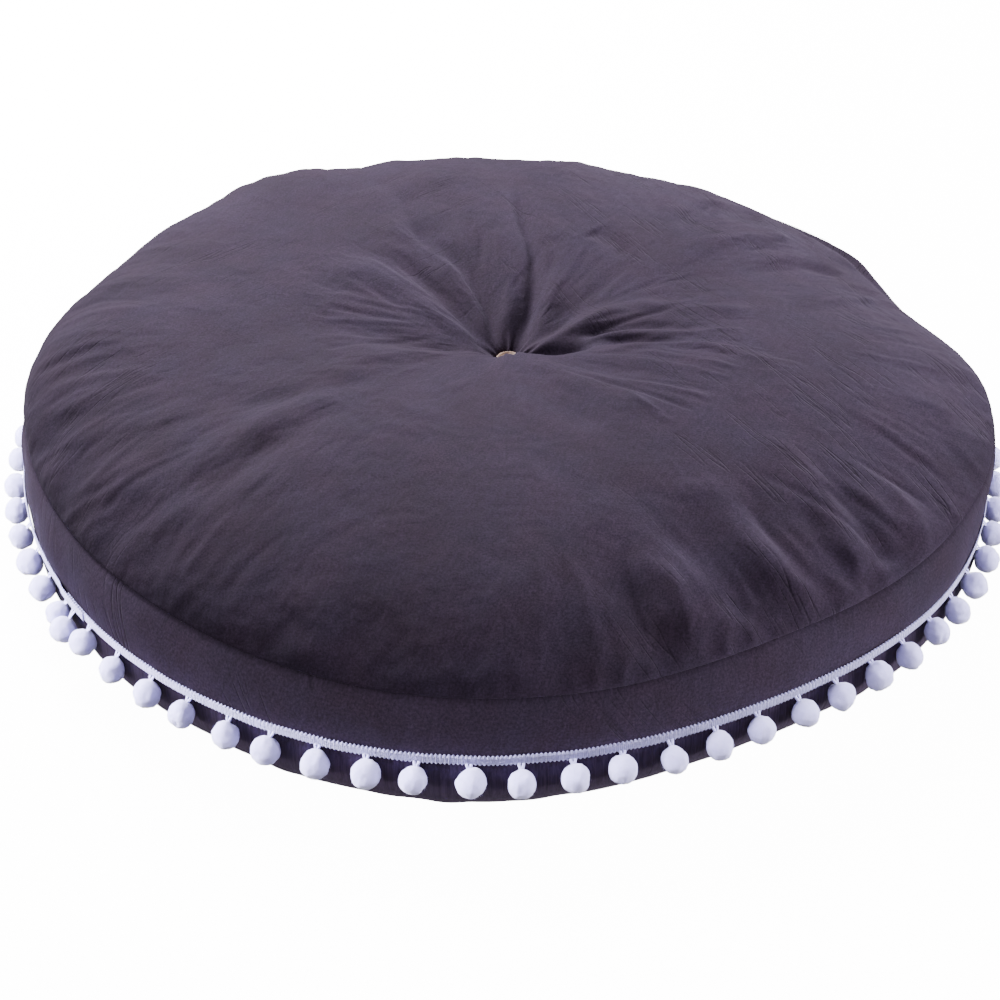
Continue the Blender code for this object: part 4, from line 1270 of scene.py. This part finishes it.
def yarn_material(name, woven):
    """Cotton yarn, a lilac that the trim's own lamps lift to white; woven is ribbed, and its darker colours
    are painted shade on the tape.
    """
    n = Nodes(name)
    place = n.coords("Object", (1, 1, 1))
    fuzz = n.noise(place, 1400.0, 3.0, 0.7)
    clump = n.noise(place, 420.0, 3.0, 0.6)
    soft = n.noise(place, 90.0, 2.0)
    # painted shade: the woven tape's colours are darker than the pompoms' to stand in for the shade on its
    # face
    pale = (0.25, 0.235, 0.41) if woven else (0.46, 0.435, 0.72)
    dim = (0.16, 0.15, 0.28) if woven else (0.40, 0.38, 0.66)
    colour = n.ramp(clump, ((0.28, dim), (0.55, pale)))
    shade = n.ramp(soft, ((0.2, (0.96, 0.96, 0.98)), (0.8, (1.0, 1.0, 1.0))))
    colour = n.mix(1.0, colour, shade, "MULTIPLY")
    normal = n.bump(fuzz, 0.35, 0.0003)
    normal = n.bump(clump, 0.25, 0.0006, normal)
    if woven:
        rib = n.add("ShaderNodeTexWave")
        rib.wave_type = "BANDS"
        rib.bands_direction = "X"
        rib.inputs["Scale"].default_value = 1.0
        n.link(n.coords("UV", (330, 330, 1)), rib.inputs["Vector"])
        line = n.add("ShaderNodeTexWave")
        line.bands_direction = "Y"
        line.inputs["Scale"].default_value = 1.0
        n.link(n.coords("UV", (330, 230, 1)), line.inputs["Vector"])
        normal = n.bump(rib.outputs["Fac"], 0.6, 0.0003, normal)
        normal = n.bump(line.outputs["Fac"], 0.4, 0.0003, normal)
    n.link(normal, n.shader.inputs["Normal"])
    n.link(colour, n.shader.inputs["Base Color"])
    n.link(n.math("ADD", n.math("MULTIPLY", clump, 0.1), 0.84), n.shader.inputs["Roughness"])
    n.shader.inputs["Sheen Weight"].default_value = 0.45
    n.shader.inputs["Sheen Roughness"].default_value = 0.6
    n.shader.inputs["Subsurface Weight"].default_value = 0.35
    n.shader.inputs["Subsurface Radius"].default_value = (0.004, 0.004, 0.0045)
    n.shader.inputs["Specular IOR Level"].default_value = 0.2
    return n.material


def wood_material(name):
    """Coconut-brown wood with rings and fine dark flecks."""
    n = Nodes(name)
    place = n.coords("Object", (220, 45, 220), (0.2, 0, 0.5))
    grain = n.noise(place, 1.0, 5.0, 0.6, 0.6)
    fleck = n.noise(n.coords("Object", (2600, 500, 2600), (0, 0, 0.5)), 1.0, 2.0)
    browns = ((0.28, (0.20, 0.105, 0.07)), (0.5, (0.36, 0.215, 0.15)), (0.74, (0.50, 0.34, 0.25)))
    colour = n.ramp(grain, browns)
    flecks = n.ramp(fleck, ((0.30, (0.55, 0.5, 0.46)), (0.46, (1, 1, 1))))
    colour = n.mix(0.8, colour, flecks, "MULTIPLY")
    n.link(colour, n.shader.inputs["Base Color"])
    n.link(n.bump(grain, 0.3, 0.0003), n.shader.inputs["Normal"])
    n.link(n.math("ADD", n.math("MULTIPLY", grain, 0.2), 0.38), n.shader.inputs["Roughness"])
    n.shader.inputs["Coat Weight"].default_value = 0.15
    n.shader.inputs["Coat Roughness"].default_value = 0.35
    return n.material


def plain_fibre_material(name, dark, pale, scale, sheen):
    n = Nodes(name)
    place = n.coords("Object", (1, 1, 1))
    value = n.noise(place, scale, 4.0, 0.6)
    fine = n.noise(place, scale * 7, 3.0, 0.6)
    n.link(n.ramp(value, ((0.3, dark), (0.7, pale))), n.shader.inputs["Base Color"])
    normal = n.bump(fine, 0.5, 0.0003)
    n.link(n.bump(value, 0.4, 0.0006, normal), n.shader.inputs["Normal"])
    n.link(n.math("ADD", n.math("MULTIPLY", fine, 0.15), 0.78), n.shader.inputs["Roughness"])
    n.shader.inputs["Sheen Weight"].default_value = sheen
    return n.material


def metal_material(name):
    n = Nodes(name)
    place = n.coords("Object", (1, 1, 1))
    wear = n.noise(place, 700.0, 4.0, 0.6)
    greys = ((0.30, (0.16, 0.155, 0.165)), (0.62, (0.30, 0.295, 0.31)), (0.80, (0.52, 0.51, 0.52)))
    colour = n.ramp(wear, greys)
    n.link(colour, n.shader.inputs["Base Color"])
    n.link(n.math("ADD", n.math("MULTIPLY", wear, 0.25), 0.22), n.shader.inputs["Roughness"])
    n.link(n.bump(wear, 0.15, 0.0001), n.shader.inputs["Normal"])
    n.shader.inputs["Metallic"].default_value = 1.0
    return n.material


def nylon_material(name):
    n = Nodes(name)
    place = n.coords("Object", (1, 1, 1))
    value = n.noise(place, 900.0, 2.0)
    colour = n.ramp(value, ((0.3, (0.060, 0.050, 0.068)), (0.7, (0.085, 0.073, 0.095))))
    n.link(colour, n.shader.inputs["Base Color"])
    n.link(n.math("ADD", n.math("MULTIPLY", value, 0.2), 0.30), n.shader.inputs["Roughness"])
    return n.material


# Put together


def dress(obj, material, slot, body, *nodes):
    obj.data.materials.clear()
    obj.data.materials.append(material)
    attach(obj, body)
    if nodes:
        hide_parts(*nodes)


BODY = "cushion"
cotton = cotton_material("cotton_plum")
# painted shade: the band's, zip band's and underside's copy of the cotton is 4% darker than the top's
cotton_shaded = cotton_material("cotton_plum_band_shaded", 0.96)
calico = plain_fibre_material("calico", (0.70, 0.68, 0.62), (0.80, 0.78, 0.73), 500.0, 0.2)
wadding = plain_fibre_material("wadding", (0.80, 0.80, 0.79), (0.90, 0.90, 0.89), 120.0, 0.4)
# painted shade: the tape's yarn is a darker copy of the pompoms' yarn
tape_yarn_shaded = yarn_material("braid_yarn_shaded", True)
pompom_yarn = yarn_material("pompom_yarn", False)
wood = wood_material("button_wood")
twine = plain_fibre_material("twine", (0.42, 0.33, 0.22), (0.66, 0.55, 0.40), 1800.0, 0.2)
zip_cloth = plain_fibre_material("zip_tape_cloth", (0.065, 0.053, 0.073), (0.095, 0.08, 0.105), 1500.0, 0.2)
nylon = nylon_material("zip_nylon")
gunmetal = metal_material("gunmetal")
thread = plain_fibre_material("sewing_thread", (0.050, 0.040, 0.058), (0.085, 0.070, 0.098), 2200.0, 0.2)

top, top_data = make_top()
dress(top, cotton, "cover_cotton", BODY, "cover_top_panel")

band = strip("side_band_cloth", band_surface, 0.0, 1.0, 15, ZIP_TO_DEG, ZIP_FROM_DEG + 360.0)
dress(band, cotton_shaded, "cover_cotton", BODY, "side_band")

HALF_SLOT = ZIP_SLOT / 2 / (SEAM_UP_Z - SEAM_LOW_Z)
for name, low, high in (("upper", 0.5 + HALF_SLOT, 1.0), ("lower", 0.0, 0.5 - HALF_SLOT)):
    piece = strip(f"zip_band_{name}_cloth", band_surface, low, high, 8, ZIP_FROM_DEG, ZIP_TO_DEG)
    dress(piece, cotton_shaded, "cover_cotton", BODY, "zip_band_" + name)


def zip_tape_surface(share, deg):
    """Just inside the band, its free edge further in, and lower where the band has slumped."""
    r, z = band_surface(share, deg)
    free = step_between(np.abs(share - 0.5), 0.08, 0.26)
    low = bump(deg, 36, 22) * step_between(share, 0.56, 0.70)
    return r - 0.0018 - 0.0060 * free - 0.0050 * low, z - 0.0035 * low


for name, low, high in (("upper", 0.5 + HALF_SLOT * 0.42, 0.78), ("lower", 0.22, 0.5 - HALF_SLOT * 0.42)):
    piece = strip(
        f"zip_tape_{name}_cloth", zip_tape_surface, low, high, 10, ZIP_FROM_DEG, ZIP_TO_DEG, hems=False
    )
    solid = piece.modifiers.new("thickness", "SOLIDIFY")
    solid.thickness = 0.0005
    solid.offset = 0.0
    dress(piece, zip_cloth, "zip_tape", BODY, "zip_tape_" + name)

bottom = make_bottom()
dress(bottom, cotton_shaded, "cover_cotton", BODY, "cover_bottom_panel")

pad_rows, pad_count = make_pad(top_data)
# the last 17 rows are the band's two, the underside's edge, and its flat part
middle = len(pad_rows) - 17
liner_top = shell("pad_liner_top_cloth", pad_rows[: middle + 1], pad_count, False)
dress(liner_top, calico, "pad_liner", BODY, "pad_liner_top")
liner_bottom = shell("pad_liner_bottom_cloth", pad_rows[middle:], pad_count, False)
dress(liner_bottom, calico, "pad_liner", BODY, "pad_liner_bottom")
fill_rows = []
for row in pad_rows:
    row = row.copy()
    r = np.hypot(row[:, 0], row[:, 1])
    row[:, :2] *= ((r - np.where(r > 0.03, 0.002, -0.0005)) / r)[:, None]
    row[:, 2] += np.where(row[:, 2] > 0.075, -0.0015, 0.0015)
    fill_rows.append(row)
fill = shell("fibre_filling", fill_rows, pad_count, True)
dress(fill, wadding, "fibre_fill", BODY, "fibre_fill")

trim_pieces = []
tape = make_tape()
trim_pieces.append(tape)
dress(tape, tape_yarn_shaded, "trim_yarn", BODY, "trim_tape")
for string in range(STRINGS):
    piece = make_string(string)
    dress(piece, pompom_yarn, "trim_yarn", BODY, f"pompoms_{string + 1:02d}")
    trim_pieces.append(piece)

button_up = make_button("button_top_wood", button_low.z, True)
dress(button_up, wood, "button_wood", BODY, "button_top")
button_down = make_button("button_bottom_wood", under_low.z, False)
dress(button_down, wood, "button_wood", BODY, "button_bottom")
for name, y in (("front", -HOLE_STEP), ("back", HOLE_STEP)):
    loop = make_twine("twine_" + name, y)
    dress(loop, twine, "tufting_twine", BODY, "tufting_twine_" + name)

for name, side in (("zip_coil_upper", 1), ("zip_coil_lower", -1)):
    coil = make_coil(name, side)
    dress(coil, nylon, "zip_coil", BODY, name)
for name, side in (("zip_stitching_upper", 1), ("zip_stitching_lower", -1)):
    row = make_topstitch(name, 0.5 + side * HALF_SLOT * 1.55, ZIP_FROM_DEG + 0.3, ZIP_TO_DEG - 0.3)
    dress(row, thread, "cover_cotton", BODY)

for name in ("zip_stop_start", "zip_stop_end", "zip_slider", "zip_pull"):
    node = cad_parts[name]
    for place in node.material_slots:
        place.material = gunmetal
    bevel = node.modifiers.new("soft_edges", "BEVEL")
    bevel.width = 0.00018
    bevel.segments = 2
    bevel.limit_method = "ANGLE"


# Stage, light and camera


def make_stage():
    """A glowing white floor that curves up far away. Only the camera sees it, so it lights nothing."""
    profile = [(0.001, 0.0), (0.3, 0.0), (1.2, 0.0), (3.0, 0.0), (4.6, 0.0)]
    for i in range(1, 9):
        a = math.radians(i * 90 / 8)
        profile.append((4.6 + 1.4 * math.sin(a), 1.4 - 1.4 * math.cos(a)))
    profile.append((6.0, 6.0))
    sides = 96
    points = []
    for r, z in profile:
        for i in range(sides):
            turn = TAU * i / sides
            points.append((r * math.cos(turn), r * math.sin(turn), z))
    obj = mesh_from("studio_floor", points, grid_faces(len(profile), sides))
    n = Nodes("studio_white")
    n.shader.inputs["Base Color"].default_value = (0.86, 0.86, 0.87, 1)
    n.shader.inputs["Roughness"].default_value = 0.9
    n.shader.inputs["Specular IOR Level"].default_value = 0.0
    n.shader.inputs["Emission Color"].default_value = (1, 1, 1, 1)
    n.shader.inputs["Emission Strength"].default_value = 14.0
    obj.data.materials.append(n.material)
    obj.visible_diffuse = False
    obj.visible_glossy = False
    obj.visible_transmission = False
    obj.visible_shadow = False


def area_light(name, place, aim, size, power, colour=(1, 1, 1)):
    data = bpy.data.lights.new(name, "AREA")
    data.shape = "RECTANGLE"
    data.size, data.size_y = size
    data.energy = power
    data.color = colour
    obj = bpy.data.objects.new(name, data)
    obj.location = place
    obj.rotation_mode = "QUATERNION"
    obj.rotation_quaternion = (Vector(aim) - Vector(place)).to_track_quat("-Z", "Y")
    bpy.context.scene.collection.objects.link(obj)
    return obj


def make_lights():
    """The left lamp lights only the sides and the trim; the three trim lamps light only the trim."""
    area_light("overhead", (-0.78, 1.38, 1.50), (-0.04, 0.12, 0.10), (1.3, 0.9), 103, (1.0, 0.98, 1.0))
    sides = bpy.data.collections.new("side_pieces")
    for piece in [band, bottom] + trim_pieces:
        sides.objects.link(piece)
    left = area_light("left", (-1.90, -0.98, 0.21), (0.0, 0.0, 0.08), (1.2, 0.30), 33, (0.98, 0.97, 1.0))
    left.light_linking.receiver_collection = sides
    area_light("right", (1.95, -0.60, 0.21), (0.0, 0.0, 0.08), (1.2, 0.30), 45, (0.98, 0.97, 1.0))
    area_light("front_fill", (0.0, -2.4, 0.75), (0.0, 0.0, 0.04), (2.0, 0.9), 11.0, (1.0, 0.97, 0.98))
    trims = bpy.data.collections.new("trim_pieces")
    for piece in trim_pieces:
        trims.objects.link(piece)
    for name, turn, power in (("left", 192, 320), ("right", -8, 110), ("back", 90, 24)):
        a = math.radians(turn)
        place = (1.5 * math.cos(a), 1.5 * math.sin(a), 0.95)
        lamp = area_light("trim_" + name, place, (0.0, 0.0, 0.05), (1.0, 0.8), power, (0.84, 0.82, 1.0))
        lamp.light_linking.receiver_collection = trims
    world = bpy.data.worlds.new("studio")
    bpy.context.scene.world = world
    world.use_nodes = True
    background = world.node_tree.nodes["Background"]
    background.inputs["Color"].default_value = (0.82, 0.80, 0.84, 1)
    background.inputs["Strength"].default_value = 0.29


def make_camera():
    data = bpy.data.cameras.new("camera")
    data.sensor_width = 36.0
    data.lens = 36.0 * 2.095
    data.shift_x = -0.0096
    data.shift_y = -0.0734
    camera = bpy.data.objects.new("camera", data)
    bpy.context.scene.collection.objects.link(camera)
    elevation, roll = math.radians(34.39), math.radians(-1.08)
    back = Vector((0, -math.cos(elevation), math.sin(elevation)))
    upward = Vector((0, math.sin(elevation), math.cos(elevation)))
    across = Vector((1, 0, 0))
    right = across * math.cos(roll) + upward * math.sin(roll)
    up = upward * math.cos(roll) - across * math.sin(roll)
    turn = Matrix((right, up, back)).transposed()
    camera.matrix_world = Matrix.Translation(Vector((0, 0, SEAM_LOW_Z)) + back * 1.702) @ turn.to_4x4()
    bpy.context.scene.camera = camera


make_stage()
make_lights()
make_camera()
